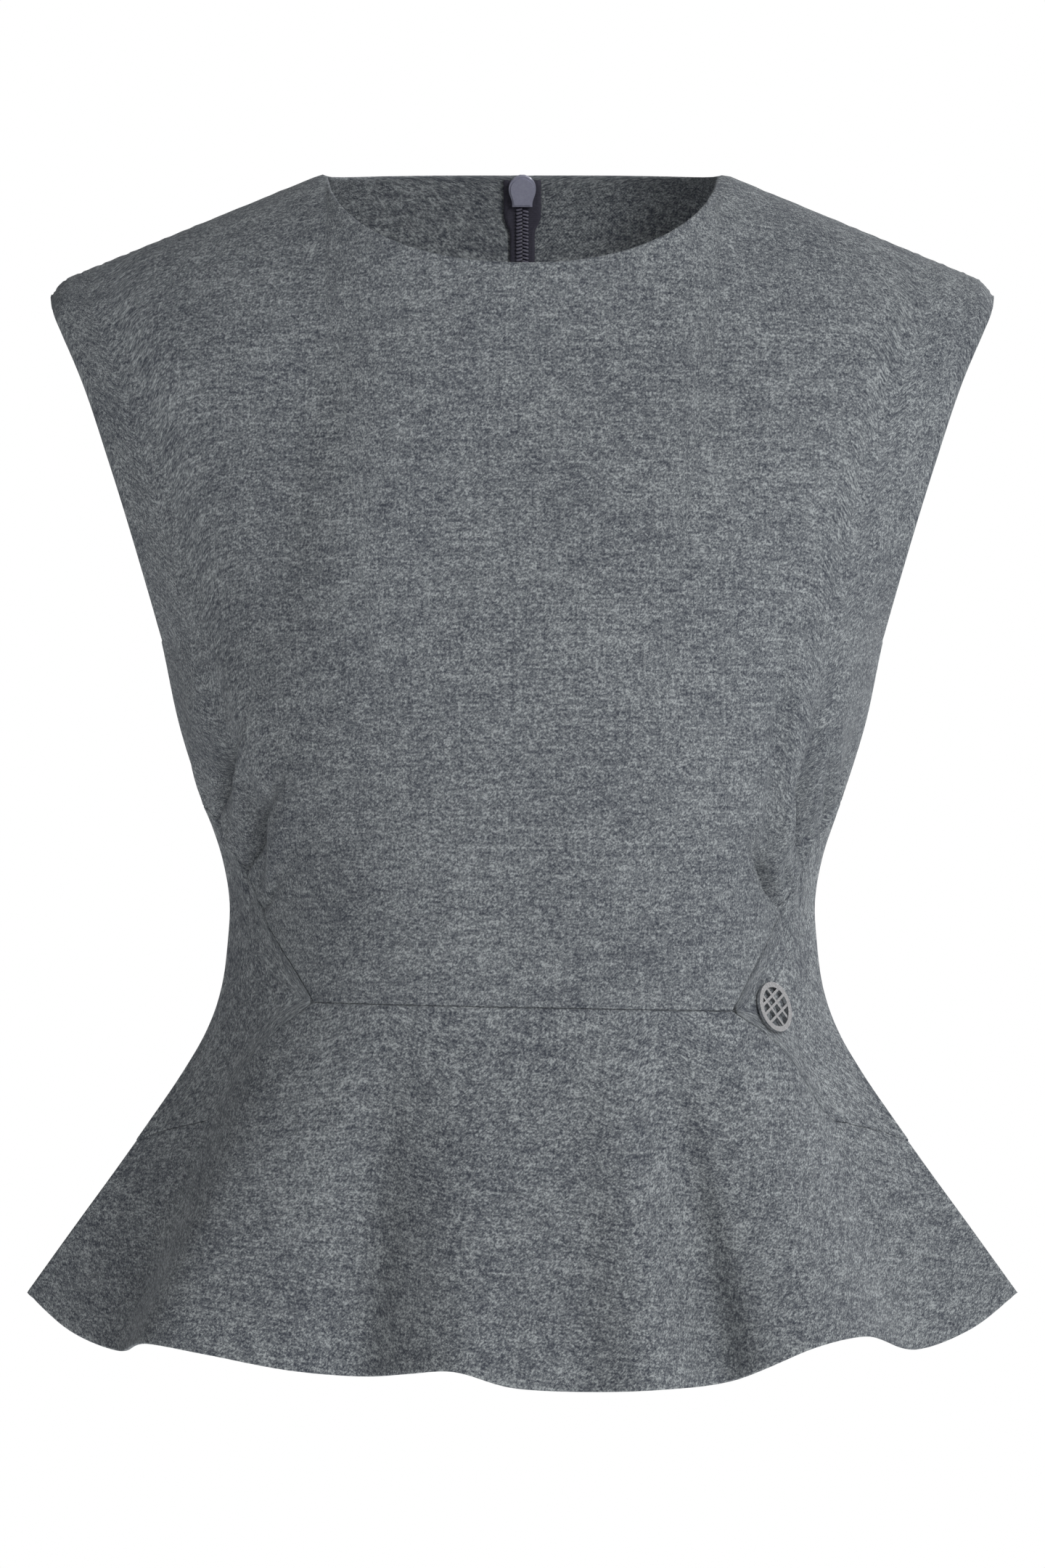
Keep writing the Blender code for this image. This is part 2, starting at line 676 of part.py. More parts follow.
def main():
    for old in list(bpy.data.objects):
        bpy.data.objects.remove(old, do_unlink=True)
    flannel = material("flannel", FLANNEL)
    make_bodice(flannel)
    make_insets(flannel)
    make_peplum(flannel)
    make_zip_tapes(material("zip tape", TAPE))
    make_zip_chain(material("zip chain", CHAIN))
    enamel = material("slider enamel", SLIDER)
    make_slider(enamel)
    make_pull(enamel)
    make_badge(material("badge metal", METAL))


main()
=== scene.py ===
"""The looks of a sleeveless peplum top in grey wool flannel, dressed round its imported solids.

Every cloth panel lies on one surface, the same as in the part's source: a place on it is an angle
(0 at the centre line, 90 at the side seam, negative on the wearer's right), a height z and a face.
Sizes are in millimetres and are turned into metres when a mesh is made.
"""

import math

import bpy
import numpy as np
from mathutils import Matrix, Vector


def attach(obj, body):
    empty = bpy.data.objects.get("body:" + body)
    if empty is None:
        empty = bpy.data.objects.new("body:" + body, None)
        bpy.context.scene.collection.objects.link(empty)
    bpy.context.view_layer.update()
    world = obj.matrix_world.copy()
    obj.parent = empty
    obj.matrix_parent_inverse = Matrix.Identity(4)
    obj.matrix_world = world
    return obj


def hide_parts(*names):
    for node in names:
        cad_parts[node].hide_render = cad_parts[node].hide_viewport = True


MM = 0.001
FRONT = -1
BACK = 1

# Neck, shoulders and armholes
NECK_HALF_WIDTH = 93.0
FRONT_NECK_DROP = 44.9
FRONT_NECK_POWERS = (2.2, 1.8)
BACK_NECK_RISE = 3.0
BACK_NECK_POWER = 3.2
SHOULDER_START = 96.5
SHOULDER_SLOPE = 0.411
NECK_SLOPE = 1.1
SHOULDER_TIP_HALF_WIDTH = 224.3
SHOULDER_TIP_RADIUS = 10.0
ARCH_HEIGHT = 80.0
RIDGE_SOFTENING = (-16, -8, 0, 8, 16)
RIDGE_FADE = 30.0
ARMHOLE_WIDEST_Z = -130.0
UNDERARM_Z = -222.0
ARMHOLE_DEPTH = {FRONT: 50.0, BACK: 56.0}

# Waist
WAIST_SEAM_TILT = -2.1
PEPLUM_START_Z = -396.0
INSET_POINT = 42.7
TILT_ENDS = 60.0

# Outline seen from the front: height, half width
OUTLINE = (
    (-531.0, 236.3),
    (-500.0, 213.8),
    (-469.0, 191.1),
    (-448.0, 176.2),
    (-427.5, 162.2),
    (-407.0, 150.3),
    (-396.0, 145.8),
    (-386.0, 143.0),
    (-365.0, 140.1),
    (-345.0, 139.2),
    (-324.0, 142.8),
    (-303.0, 149.7),
    (-262.0, 162.7),
    (-220.0, 171.8),
    (-179.0, 182.9),
    (-137.7, 195.4),
    (-96.0, 209.6),
    (-76.0, 218.3),
    (-66.0, 222.6),
    (-58.0, 224.3),
)

# Sections of the body: height, front depth, back depth, power across, power in depth
SECTIONS = (
    (-396.0, 110.0, 88.0, 3.0, 1.40),
    (-345.0, 103.0, 82.0, 2.8, 1.50),
    (-300.0, 110.0, 84.0, 2.5, 1.75),
    (-230.0, 120.0, 89.0, 2.4, 1.95),
    (-180.0, 114.0, 92.0, 2.4, 2.00),
    (-100.0, 92.0, 88.0, 2.4, 2.00),
    (-42.0, 74.0, 77.0, 2.4, 2.00),
    (3.0, 64.0, 67.0, 2.4, 2.00),
)

# Inset seams on either side: angle, upper seam height, lower seam height
INSET_SEAMS = (
    (42.7, -393.7, -393.7),
    (46.0, -386.0, -398.5),
    (50.0, -376.5, -404.5),
    (54.5, -366.5, -414.0),
    (59.0, -357.0, -429.0),
    (61.0, -352.5, -439.0),
    (64.0, -346.0, -446.5),
    (69.0, -332.5, -449.5),
    (74.0, -315.0, -451.5),
    (80.0, -303.5, -453.5),
    (90.0, -297.0, -459.0),
)

# Hem of the peplum, through its flutes: angle, x, y, z
FRONT_HEM = (
    (-90.0, -236.3, 0.0, -531.0),
    (-76.0, -214.0, -20.0, -549.0),
    (-64.0, -192.0, -40.0, -557.0),
    (-50.0, -174.5, -117.0, -550.5),
    (-41.0, -146.0, -132.0, -555.0),
    (-33.0, -108.0, -136.0, -562.0),
    (-26.0, -75.0, -130.0, -565.0),
    (-20.0, -55.0, -151.0, -563.0),
    (-14.0, -37.0, -165.0, -561.0),
    (0.0, -2.0, -166.0, -569.0),
    (9.0, 27.0, -161.0, -570.7),
    (19.0, 64.0, -165.0, -569.6),
    (26.0, 92.0, -128.0, -568.5),
    (33.0, 112.0, -144.0, -561.0),
    (41.0, 136.0, -138.0, -551.5),
    (50.0, 160.0, -106.0, -547.5),
    (64.0, 186.5, -50.0, -556.0),
    (76.0, 212.0, -24.0, -548.0),
    (90.0, 236.3, 0.0, -531.0),
)
BACK_HEM = (
    (-90.0, -236.3, 0.0, -531.0),
    (-73.0, -213.0, 38.0, -544.0),
    (-58.0, -181.0, 60.0, -551.0),
    (-45.0, -160.0, 114.0, -546.0),
    (-30.0, -103.0, 134.0, -553.0),
    (-16.0, -62.0, 168.0, -549.0),
    (0.0, 0.0, 151.0, -556.0),
    (15.0, 58.0, 170.0, -548.0),
    (31.0, 110.0, 131.0, -554.0),
    (46.0, 166.0, 111.0, -545.0),
    (60.0, 184.0, 57.0, -551.0),
    (75.0, 216.0, 33.0, -543.0),
    (90.0, 236.3, 0.0, -531.0),
)

# Gathers above the insets: face, angle at the seam, angle at the top, rise, half width, height
GATHERS = (
    (FRONT, -77.5, -54.0, 52.0, 6.0, -4.0),
    (FRONT, -73.0, -46.0, 74.0, 8.5, 3.6),
    (FRONT, -69.5, -48.0, 48.0, 5.5, -4.6),
    (FRONT, -65.0, -42.0, 56.0, 8.0, 3.2),
    (FRONT, -84.0, -68.0, 60.0, 9.0, 2.4),
    (FRONT, 63.0, 46.0, 36.0, 6.0, -4.2),
    (FRONT, 67.0, 48.0, 70.0, 8.0, 3.6),
    (FRONT, 71.0, 58.0, 50.0, 6.0, -4.4),
    (FRONT, 76.5, 61.0, 66.0, 8.0, 3.2),
    (FRONT, 82.0, 75.0, 40.0, 6.5, -2.6),
    (BACK, -80.0, -66.0, 46.0, 6.5, -3.8),
    (BACK, -75.0, -57.0, 70.0, 8.5, 3.6),
    (BACK, -69.5, -55.0, 40.0, 6.0, -4.2),
    (BACK, -64.0, -50.0, 50.0, 8.0, 2.8),
    (BACK, 63.0, 50.0, 40.0, 6.0, -4.0),
    (BACK, 68.0, 52.0, 64.0, 8.5, 3.6),
    (BACK, 73.5, 62.0, 44.0, 6.0, -4.2),
    (BACK, 79.0, 67.0, 60.0, 8.0, 3.0),
)
SPREAD_PER_DEGREE = 2.2
SEAM_PLANE_REACH = 8.0

# Sharp folds where the gathers are caught in the seam: face, angle at the seam, angle at the top,
# rise, width of the flat side, depth, and the side of the fold that is steep (1 is the wearer's left)
FOLDS = (
    (FRONT, -77.5, -51.0, 54.0, 9.0, -5.5, 1),
    (FRONT, -69.5, -45.0, 52.0, 10.0, -7.0, 1),
    (FRONT, -73.5, -68.0, 17.0, 3.0, -2.4, 1),
    (FRONT, -62.5, -54.0, 24.0, 6.0, -3.6, -1),
    (FRONT, 63.0, 44.0, 46.0, 9.0, -6.6, -1),
    (FRONT, 66.3, 61.0, 16.0, 3.2, -2.6, 1),
    (FRONT, 70.5, 57.0, 48.0, 7.5, -6.0, 1),
    (FRONT, 75.0, 62.0, 62.0, 8.0, -4.6, -1),
    (FRONT, 80.5, 75.0, 26.0, 3.8, -2.6, -1),
    (BACK, -79.0, -60.0, 50.0, 8.0, -5.0, 1),
    (BACK, -69.0, -49.0, 46.0, 8.5, -5.8, 1),
    (BACK, -63.0, -58.0, 18.0, 3.5, -2.6, -1),
    (BACK, 62.5, 45.0, 44.0, 8.0, -5.6, -1),
    (BACK, 67.5, 63.0, 18.0, 3.5, -2.6, 1),
    (BACK, 73.0, 57.0, 54.0, 8.5, -5.8, 1),
)

STEEP_SIDE = 0.34
SEAM_PULL_REACH = 8.0

# Soft creases: face, angle and height at both ends, half width, height
CREASES = (
    (FRONT, -3.0, -48.0, -36.0, -235.0, 26.0, 5.6),
    (FRONT, -25.0, -48.0, -38.0, -205.0, 12.0, -2.2),
    (FRONT, -62.0, -240.0, -68.0, -308.0, 9.0, -6.5),
    (FRONT, -58.0, -276.0, -64.0, -344.0, 9.0, -6.5),
    (FRONT, 46.0, -230.0, 57.0, -342.0, 5.5, -5.5),
    (FRONT, 59.0, -234.0, 64.0, -336.0, 5.5, -5.0),
    (FRONT, 64.0, -130.0, 34.0, -240.0, 24.0, -1.2),
    (FRONT, 50.0, -235.0, 18.0, -300.0, 18.0, -1.0),
    (FRONT, -55.0, -265.0, -24.0, -310.0, 16.0, -0.9),
    (FRONT, -36.0, -330.0, -10.0, -372.0, 14.0, 0.7),
    (FRONT, 36.0, -335.0, 10.0, -366.0, 15.0, -0.8),
    (FRONT, -20.0, -410.0, -25.0, -500.0, 13.0, -0.9),
    (FRONT, 40.0, -415.0, 44.0, -500.0, 9.0, 0.8),
    (BACK, -58.0, -110.0, -26.0, -190.0, 24.0, -1.8),
    (BACK, 60.0, -105.0, 30.0, -205.0, 22.0, -1.6),
    (BACK, -45.0, -260.0, -16.0, -330.0, 16.0, -1.5),
    (BACK, 42.0, -270.0, 14.0, -345.0, 15.0, -1.6),
    (BACK, -30.0, -345.0, -6.0, -372.0, 9.0, -1.4),
    (BACK, 28.0, -352.0, 5.0, -380.0, 8.0, -1.3),
    (BACK, -20.0, -40.0, -5.0, -75.0, 14.0, 1.0),
    (BACK, 22.0, -45.0, 6.0, -90.0, 13.0, -0.9),
)

# Shell of the cloth: thickness, the roll of its edges at a seam, and what is left open in a seam
CLOTH = 1.8
SEAM_ROLL = 1.0
SEAM_OPEN = 0.06
WIDE_STEP = 1.2
GATHER_STEP = 0.5
GATHERS_START = 56.0
PUCKER_HEIGHT = 0.28
PUCKER_LENGTH = 13.0
CUT_DISTANCE = 0.73

# Zip
ZIP_END_Z = -441.0
ZIP_SLIT = 1.2
SLIT_OPENS_Z = (-18.0, -8.0)
SLIT_CLOSES_Z = (0.6, 2.6)
TAPE_WIDTH = 6.0
TAPE_TOP_WIDTH = 9.0
TAPE_TOP_Z = (-24.0, -16.0)
TAPE_OPENS_Z = (-9.0, -6.0)
TAPE_EDGE = 0.01
TAPE_LAYER = (-2.35, -2.95)
TOOTH_PITCH = 1.75
TOOTH_OFFSET = 1.5
TOOTH_LENGTH = 1.9
TOOTH_RADIUS = 0.6
CHAIN_DEPTH = -3.7
SLIDER_Z = -2.4
SLIDER_LENGTH = 16.2
SLIDER_DROP = 8.2
SLIDER_WIDTHS = (
    (0.0, 4.8),
    (0.14, 4.9),
    (0.3, 5.6),
    (0.45, 6.3),
    (0.58, 6.5),
    (0.72, 6.1),
    (0.85, 4.9),
    (0.94, 3.2),
    (1.0, 1.2),
)
SLIDER_LAYER = (-3.9, -6.2)
STEM_WIDTH = 1.6
STEM_HEIGHT = 3.6
EYE_RADIUS = 2.2
EYE_HOLE = 1.05
EYE_STANDOFF = 2.6
HINGE_POINT = (0.0, 66.69, -1.224)
PULL_THICKNESS = 1.1
PULL_OUTLINE = ((0.6, 2.5), (-3.4, 2.5), (-6.0, 2.0), (-9.5, 2.3), (-14.0, 3.3), (-17.0, 3.1), (-19.0, 1.4))
PULL_WINDOW = (1.4, -0.55, -3.0)
PULL_LEAN = 5.0

# Badge
BADGE_ANGLE = 53.9
BADGE_Z = -394.7
BADGE_RADIUS = 12.0
BADGE_BAND = 2.5
BADGE_THICKNESS = 1.7
BADGE_LIFT = 0.7
BADGE_BAR_WIDTH = 1.3
BADGE_BARS = ((-3.6, 28.0), (1.2, 28.0), (5.2, 28.0), (-2.6, -52.0), (3.0, -52.0))

# The photograph: its frame in pixels, the size of one pixel and the row of the neck points
FRAME_PIXELS = (1440, 2160)
PIXEL = 0.345
NECK_ROW = 241
CENTRE_COLUMN = 719.7
CAMERA_DISTANCE = 6.0

# Stage: sizes in metres, light in watts
FLOOR_Z = -1.6
FLOOR_HALF_WIDTH = 14.0
FLOOR_GLOW = 0.4
SURROUND_FROM_LEFT = 0.13
SURROUND_FROM_RIGHT = 0.66
KEY_POWER = 52.0
BACK_KEY_POWER = 40.0


def spline(knots, values, at):
    """Smooth curve through a table: cubic pieces that share their slope at every row."""
    knots = np.asarray(knots, float)
    values = np.asarray(values, float)
    slopes = np.gradient(values, knots)
    at = np.clip(at, knots[0], knots[-1])
    i = np.clip(np.searchsorted(knots, at) - 1, 0, len(knots) - 2)
    step = knots[i + 1] - knots[i]
    t = (at - knots[i]) / step
    rise = t * t * (3 - 2 * t)
    bend_low = t * (1 - t) ** 2 * step * slopes[i]
    bend_high = t * t * (t - 1) * step * slopes[i + 1]
    return values[i] + (values[i + 1] - values[i]) * rise + bend_low + bend_high


def column(table, index, at):
    """One column of a table, read smoothly at the places given."""
    rows = np.array(table, float)
    return spline(rows[:, 0], rows[:, index], at)


def ease(low, high, at):
    """0 below low, 1 above high and a soft step between."""
    t = np.clip((at - low) / (high - low), 0, 1)
    return t * t * (3 - 2 * t)


def half_width(z):
    """Half the width of the outline at a height."""
    return column(OUTLINE, 1, z)


def shoulder_ridge(x):
    """Height of the shoulder seam at x, carried on upward inside the neck opening."""
    out = np.abs(x)
    inside = NECK_SLOPE / 2 * np.maximum(NECK_HALF_WIDTH - out**2 / NECK_HALF_WIDTH, 0)
    outside = SHOULDER_SLOPE * np.maximum(out - SHOULDER_START, 0)
    over = np.clip(out - (SHOULDER_TIP_HALF_WIDTH - SHOULDER_TIP_RADIUS), 0, 0.86 * SHOULDER_TIP_RADIUS)
    corner = SHOULDER_TIP_RADIUS - np.sqrt(SHOULDER_TIP_RADIUS**2 - over**2)
    return inside - outside - corner


def body_depth(x, z, face):
    """How far in front of or behind the side seams the body's cloth lies."""
    depth = column(SECTIONS, 1 if face == FRONT else 2, z)
    across = column(SECTIONS, 3, z)
    power = column(SECTIONS, 4, z)
    below = np.clip((ARMHOLE_WIDEST_Z - z) / (ARMHOLE_WIDEST_Z - UNDERARM_Z), 0, 1)
    edge = ARMHOLE_DEPTH[face] * np.sqrt(1 - below**2)
    full_width = half_width(z) / (1 - (edge / depth) ** power) ** (1 / across)
    section = depth * np.clip(1 - np.abs(x / full_width) ** across, 0, 1) ** (1 / power)
    ridge = shoulder_ridge(x)
    softer = sum(shoulder_ridge(np.abs(x) + shift) for shift in RIDGE_SOFTENING) / len(RIDGE_SOFTENING)
    ridge = ridge + (softer - ridge) * ease(0, RIDGE_FADE, ridge - z)
    arch = np.clip((ridge - z) / ARCH_HEIGHT, 0, 1)
    return section * np.sqrt(1 - (1 - arch) ** 2)


def body_point(angle, z, face):
    """A point of the bodice surface."""
    x = np.sin(np.radians(angle)) * half_width(z)
    return np.stack([x, face * body_depth(x, z, face), z + 0 * x], axis=-1)


def hem_point(angle, face):
    """A point of the hem."""
    table = FRONT_HEM if face == FRONT else BACK_HEM
    return np.stack([column(table, i, angle) for i in (1, 2, 3)], axis=-1)


def flare(share):
    """How much of the peplum's spread is reached at a share of its length, read from the outline."""
    top = PEPLUM_START_Z
    bottom = OUTLINE[0][0]
    start = half_width(top)
    return (half_width(top + (bottom - top) * share) - start) / (half_width(bottom) - start)


def surface(angle, z, face):
    """A point of the cloth's outer surface: the body, and below its lower end the fluted peplum."""
    angle = np.asarray(angle, float)
    z = np.asarray(z, float)
    body = body_point(angle, np.maximum(z, PEPLUM_START_Z), face)
    hem = hem_point(angle, face)
    drop = np.maximum(PEPLUM_START_Z - z, 0)
    share = drop / (PEPLUM_START_Z - hem[..., 2])
    spread = flare(np.clip(share, 0, 1))[..., None]
    point = body + (hem - body) * spread
    point[..., 2] = z
    return point


def seam_height(angle, face, index):
    """Height of an inset seam, or of the waist seam inside the inset points."""
    out = np.abs(angle)
    seam = column(INSET_SEAMS, index, out)
    tilt = WAIST_SEAM_TILT * np.clip(angle / INSET_POINT, -1, 1) * (1 - ease(INSET_POINT, TILT_ENDS, out))
    return seam + (tilt if face == FRONT else 0)


def bodice_bottom(angle, face):
    return seam_height(angle, face, 1)


def peplum_top(angle, face):
    return seam_height(angle, face, 2)


def hem_height(angle, face):
    return hem_point(angle, face)[..., 2]


def bodice_top(angle, face):
    """Height of the neckline, or of the shoulder seam outside it."""
    x = np.sin(np.radians(angle)) * SHOULDER_TIP_HALF_WIDTH
    share = np.clip(np.abs(x) / NECK_HALF_WIDTH, 0, 1)
    if face == FRONT:
        power_in, power_out = FRONT_NECK_POWERS
        neck = -FRONT_NECK_DROP * (1 - share**power_in) ** (1 / power_out)
    else:
        neck = BACK_NECK_RISE * (1 - share**BACK_NECK_POWER)
    return np.where(np.abs(x) < NECK_HALF_WIDTH, neck, np.minimum(shoulder_ridge(x), 0))


def gather_height(angle, z, face):
    """How far the gathers lift or sink the cloth at a place above an inset."""
    lift = np.zeros(np.broadcast(angle, z).shape)
    for side, at_seam, at_top, rise, width, height in GATHERS:
        if side != face:
            continue
        along = (z - bodice_bottom(at_seam, face)) / rise
        middle = at_seam + (at_top - at_seam) * along
        spread = width * (0.7 + 0.6 * np.clip(along, 0, 1))
        across = (angle - middle) * SPREAD_PER_DEGREE / spread
        fade = (0.55 + 0.45 * ease(0, 0.25, along)) * (1 - ease(0.3, 1.1, along))
        lift = lift + height * np.exp(-across**2) * fade
    return lift


def crease_height(angle, z, face):
    """How far the soft creases lift or sink the cloth."""
    lift = np.zeros(np.broadcast(angle, z).shape)
    for side, angle_a, z_a, angle_b, z_b, width, height in CREASES:
        if side != face:
            continue
        run = np.array([(angle_b - angle_a) * SPREAD_PER_DEGREE, z_b - z_a])
        length = np.hypot(*run)
        away = np.stack([(angle - angle_a) * SPREAD_PER_DEGREE, z - z_a], axis=-1)
        along = away @ run / length**2
        across = (away[..., 0] * run[1] - away[..., 1] * run[0]) / length
        wander = 0.25 * width * np.sin(along * 5 + angle_a)
        fade = ease(-0.25, 0.3, along) * (1 - ease(0.7, 1.25, along))
        lift = lift + height * np.exp(-(((across + wander) / width) ** 2)) * fade
    return lift


def fold_height(angle, z, face):
    """How far the sharp folds sink the cloth above an inset: steep on one side, flat on the other."""
    lift = np.zeros(np.broadcast(angle, z).shape)
    for side, at_seam, at_top, rise, width, depth, steep in FOLDS:
        if side != face:
            continue
        along = (z - bodice_bottom(at_seam, face)) / rise
        bend = np.clip(along, -0.3, 1.3)
        middle = at_seam + (at_top - at_seam) * (1.25 * bend - 0.25 * bend**2)
        spread = width * (0.4 + 0.75 * np.clip(along, 0, 1))
        across = (angle - middle) * SPREAD_PER_DEGREE
        spread = np.where(across * steep > 0, spread * STEEP_SIDE, spread)
        fade = (0.35 + 0.65 * ease(0, 0.16, along)) * (1 - ease(0.25, 1.1, along))
        lift = lift + depth * np.exp(-((across / spread) ** 2)) * fade
    return lift


def gathered_lift(angle, z, face):
    return gather_height(angle, z, face) + fold_height(angle, z, face)


def normals(angle, z, face):
    """Unit normals that point out of the body."""
    turn = 0.4
    drop = 0.8
    toward_centre = np.where(angle >= 0, -turn, turn)
    at = surface(angle, z, face)
    around = (at - surface(angle + toward_centre, z, face)) * np.where(angle >= 0, 1, -1)[..., None]
    down = at - surface(angle, z - drop, face)
    normal = np.cross(around, down) * -face
    normal[..., 1] = normal[..., 1] * ease(0, SEAM_PLANE_REACH, np.abs(at[..., 1]))
    return normal / np.linalg.norm(normal, axis=-1, keepdims=True)


def slit_half_gap(z, opens=SLIT_OPENS_Z, closed=SEAM_OPEN / 2):
    """Half the distance between two edges at the centre back: closed, but for the slider's stem."""
    opened = ease(opens[0], opens[1], z) * (1 - ease(SLIT_CLOSES_Z[0], SLIT_CLOSES_Z[1], z))
    return closed + (ZIP_SLIT - closed) * opened


def edge_roll(distance, radius):
    """How far a rounded edge has turned in at a distance from it."""
    left = radius - np.clip(distance, 0, radius)
    return radius - np.sqrt(radius**2 - (0.985 * left) ** 2)


def fine_steps(marks, step):
    """The marks with even steps no longer than step between them."""
    made = [float(marks[0])]
    for low, high in zip(marks, marks[1:]):
        count = max(1, math.ceil((high - low) / step))
        made += [low + (high - low) * (i + 1) / count for i in range(count)]
    return made


def mesh_object(name, points, faces, finish, weave=None):
    """An object from points in millimetres, with the cloth's own coordinates where it has them."""
    mesh = bpy.data.meshes.new(name)
    mesh.from_pydata((np.asarray(points) * MM).tolist(), [], faces)
    if weave is not None:
        layer = mesh.attributes.new("weave", "FLOAT_VECTOR", "POINT")
        layer.data.foreach_set("vector", np.asarray(weave, np.float32).ravel())
    mesh.materials.append(finish)
    mesh.validate()
    mesh.shade_smooth()
    made = bpy.data.objects.new(name, mesh)
    bpy.context.scene.collection.objects.link(made)
    return made


def wall_faces(rows, columns):
    """Faces of a closed wall between two grids of points, the outer one first."""
    index = np.arange(rows * columns).reshape(rows, columns)
    a, b = index[:-1, :-1].ravel(), index[:-1, 1:].ravel()
    c, d = index[1:, 1:].ravel(), index[1:, :-1].ravel()
    outer = np.stack([a, b, c, d], axis=1)
    inner = np.stack([d, c, b, a], axis=1) + rows * columns
    ring = list(index[0, :]) + list(index[1:, -1]) + list(index[-1, -2::-1]) + list(index[-2:0:-1, 0])
    ring = np.array(ring)
    ahead = np.roll(ring, -1)
    shift = rows * columns
    rim = np.stack([ring, ring + shift, ahead + shift, ahead], axis=1)
    return np.concatenate([outer, inner, rim]).tolist()


def weave_coordinates(grid, bias, cut):
    """Distances along the cloth in metres, across from the middle column and up from the waist.

    bias turns the grain in the panel, and cut is the number of the place it was cut from.
    """
    across = np.linalg.norm(np.diff(grid, axis=1), axis=-1)
    u = np.concatenate([np.zeros((grid.shape[0], 1)), np.cumsum(across, axis=1)], axis=1)
    u = u - u[:, u.shape[1] // 2, None]
    along = np.linalg.norm(np.diff(grid, axis=0), axis=-1)
    v = np.concatenate([np.zeros((1, grid.shape[1])), np.cumsum(along, axis=0)])
    v = v + grid[0, :, 2]
    plane = np.stack([u, v], axis=-1) * MM
    turn = np.array([[math.cos(bias), -math.sin(bias)], [math.sin(bias), math.cos(bias)]])
    plane = plane @ turn.T
    return np.concatenate([plane, np.full((*v.shape, 1), cut * CUT_DISTANCE)], axis=-1)


_cuts = []


def panel(name, places, curves, rows, sewn, gathers=None, half=None, bias=0.0):
    """A cloth panel as a thin shell with rounded edges over columns of the surface.

    places holds (angle, face) for each column, curves the heights of the bottom and the top edge,
    sewn says whether those are seams, gathers is "all" or "top edge" for how far they draw the
    cloth, and half is -1 or 1 for a back that ends at the centre line.
    """
    angles = np.array([a for a, _ in places], float)
    faces = np.array([f for _, f in places])
    low = np.array([float(curves[0](a, f)) for a, f in places])
    high = np.array([float(curves[1](a, f)) for a, f in places])
    base = np.array([surface(a, z, f) for a, f, z in zip(angles, faces, low)])
    run = np.hypot(np.gradient(base[:, 0]), np.gradient(base[:, 1]))
    slopes = [np.sqrt(1 + (np.gradient(edge) / np.maximum(run, 1e-6)) ** 2) for edge in (low, high)]
    low = low + (SEAM_OPEN / 2 * slopes[0] if sewn[0] else 0)
    high = high - (SEAM_OPEN / 2 * slopes[1] if sewn[1] else 0)

    share = np.array(rows)[:, None]
    z = low + (high - low) * share
    angle = np.broadcast_to(angles, z.shape)
    at = np.zeros((*z.shape, 3))
    out = np.zeros_like(at)
    lift = np.zeros_like(z)
    for face in set(faces.tolist()):
        mine = faces == face
        at[:, mine] = surface(angle[:, mine], z[:, mine], face)
        out[:, mine] = normals(angle[:, mine], z[:, mine], face)
        lift[:, mine] = crease_height(angle[:, mine], z[:, mine], face)
        if gathers == "all":
            lift[:, mine] += gathered_lift(angle[:, mine], z[:, mine], face)
        if gathers == "top edge":
            drawn = gathered_lift(angle[:, mine], bodice_bottom(angle[:, mine], face), face)
            lift[:, mine] += drawn * np.exp(-(high - z)[:, mine] / SEAM_PULL_REACH)

    one_face = len(set(faces.tolist())) == 1
    from_bottom = (z - low) / slopes[0]
    from_top = (high - z) / slopes[1]
    far = np.full(z.shape, 1e3)
    in_neck = np.abs(np.sin(np.radians(angle))) * SHOULDER_TIP_HALF_WIDTH < NECK_HALF_WIDTH
    from_seam = np.minimum(from_bottom if sewn[0] else far, from_top if sewn[1] else far)
    from_free = far if sewn[0] else from_bottom
    if not sewn[1]:
        from_free = np.minimum(from_free, np.where(in_neck, from_top, far))
    if one_face:
        side_plane = np.where((z < UNDERARM_Z) | (from_top < 40), np.abs(at[..., 1]), far)
        from_seam = np.minimum(from_seam, np.where(in_neck & (z > UNDERARM_Z), far, side_plane))
        past_edge = (half_width(z) - np.abs(at[..., 0])) * 1.3
        from_free = np.minimum(from_free, np.where(z > UNDERARM_Z, past_edge, far))
    if half:
        from_seam = np.minimum(from_seam, np.abs(at[..., 0]) + 0.02)

    rolled = np.maximum(edge_roll(from_seam, SEAM_ROLL), edge_roll(from_free, CLOTH / 2))
    pucker = PUCKER_HEIGHT * np.sin(angle * 2 * math.pi / (PUCKER_LENGTH / SPREAD_PER_DEGREE) + 2 * np.sin(angle))
    lift = lift - pucker * np.exp(-np.abs(from_seam) / 6)
    grids = []
    for depth in (lift - rolled, lift - CLOTH + edge_roll(from_free, CLOTH / 2)):
        grid = at + out * depth[..., None]
        if one_face:
            side = faces[0]
            grid[..., 1] = side * np.maximum(side * grid[..., 1], SEAM_OPEN / 2)
        if half:
            grid[..., 0] = half * np.maximum(half * grid[..., 0], slit_half_gap(grid[..., 2]))
        grids.append(grid)
    weave = weave_coordinates(grids[0], bias, len(_cuts))
    _cuts.append(name)
    points = np.concatenate([g.reshape(-1, 3) for g in grids])
    coordinates = np.concatenate([weave.reshape(-1, 3)] * 2)
    order = wall_faces(*z.shape)
    made = mesh_object(name, points, order, flannel_material(), coordinates)
    make_outward(made)
    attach(made, "top")
    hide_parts(name.replace("cloth_", ""))
    return made


def make_outward(made):
    """Turns the faces of a closed mesh outward if its volume comes out negative."""
    mesh = made.data
    mesh.calc_loop_triangles()
    points = np.array([v.co[:] for v in mesh.vertices])
    triangles = np.array([t.vertices[:] for t in mesh.loop_triangles])
    a, b, c = points[triangles[:, 0]], points[triangles[:, 1]], points[triangles[:, 2]]
    if np.einsum("ij,ij->i", a, np.cross(b, c)).sum() < 0:
        mesh.flip_normals()


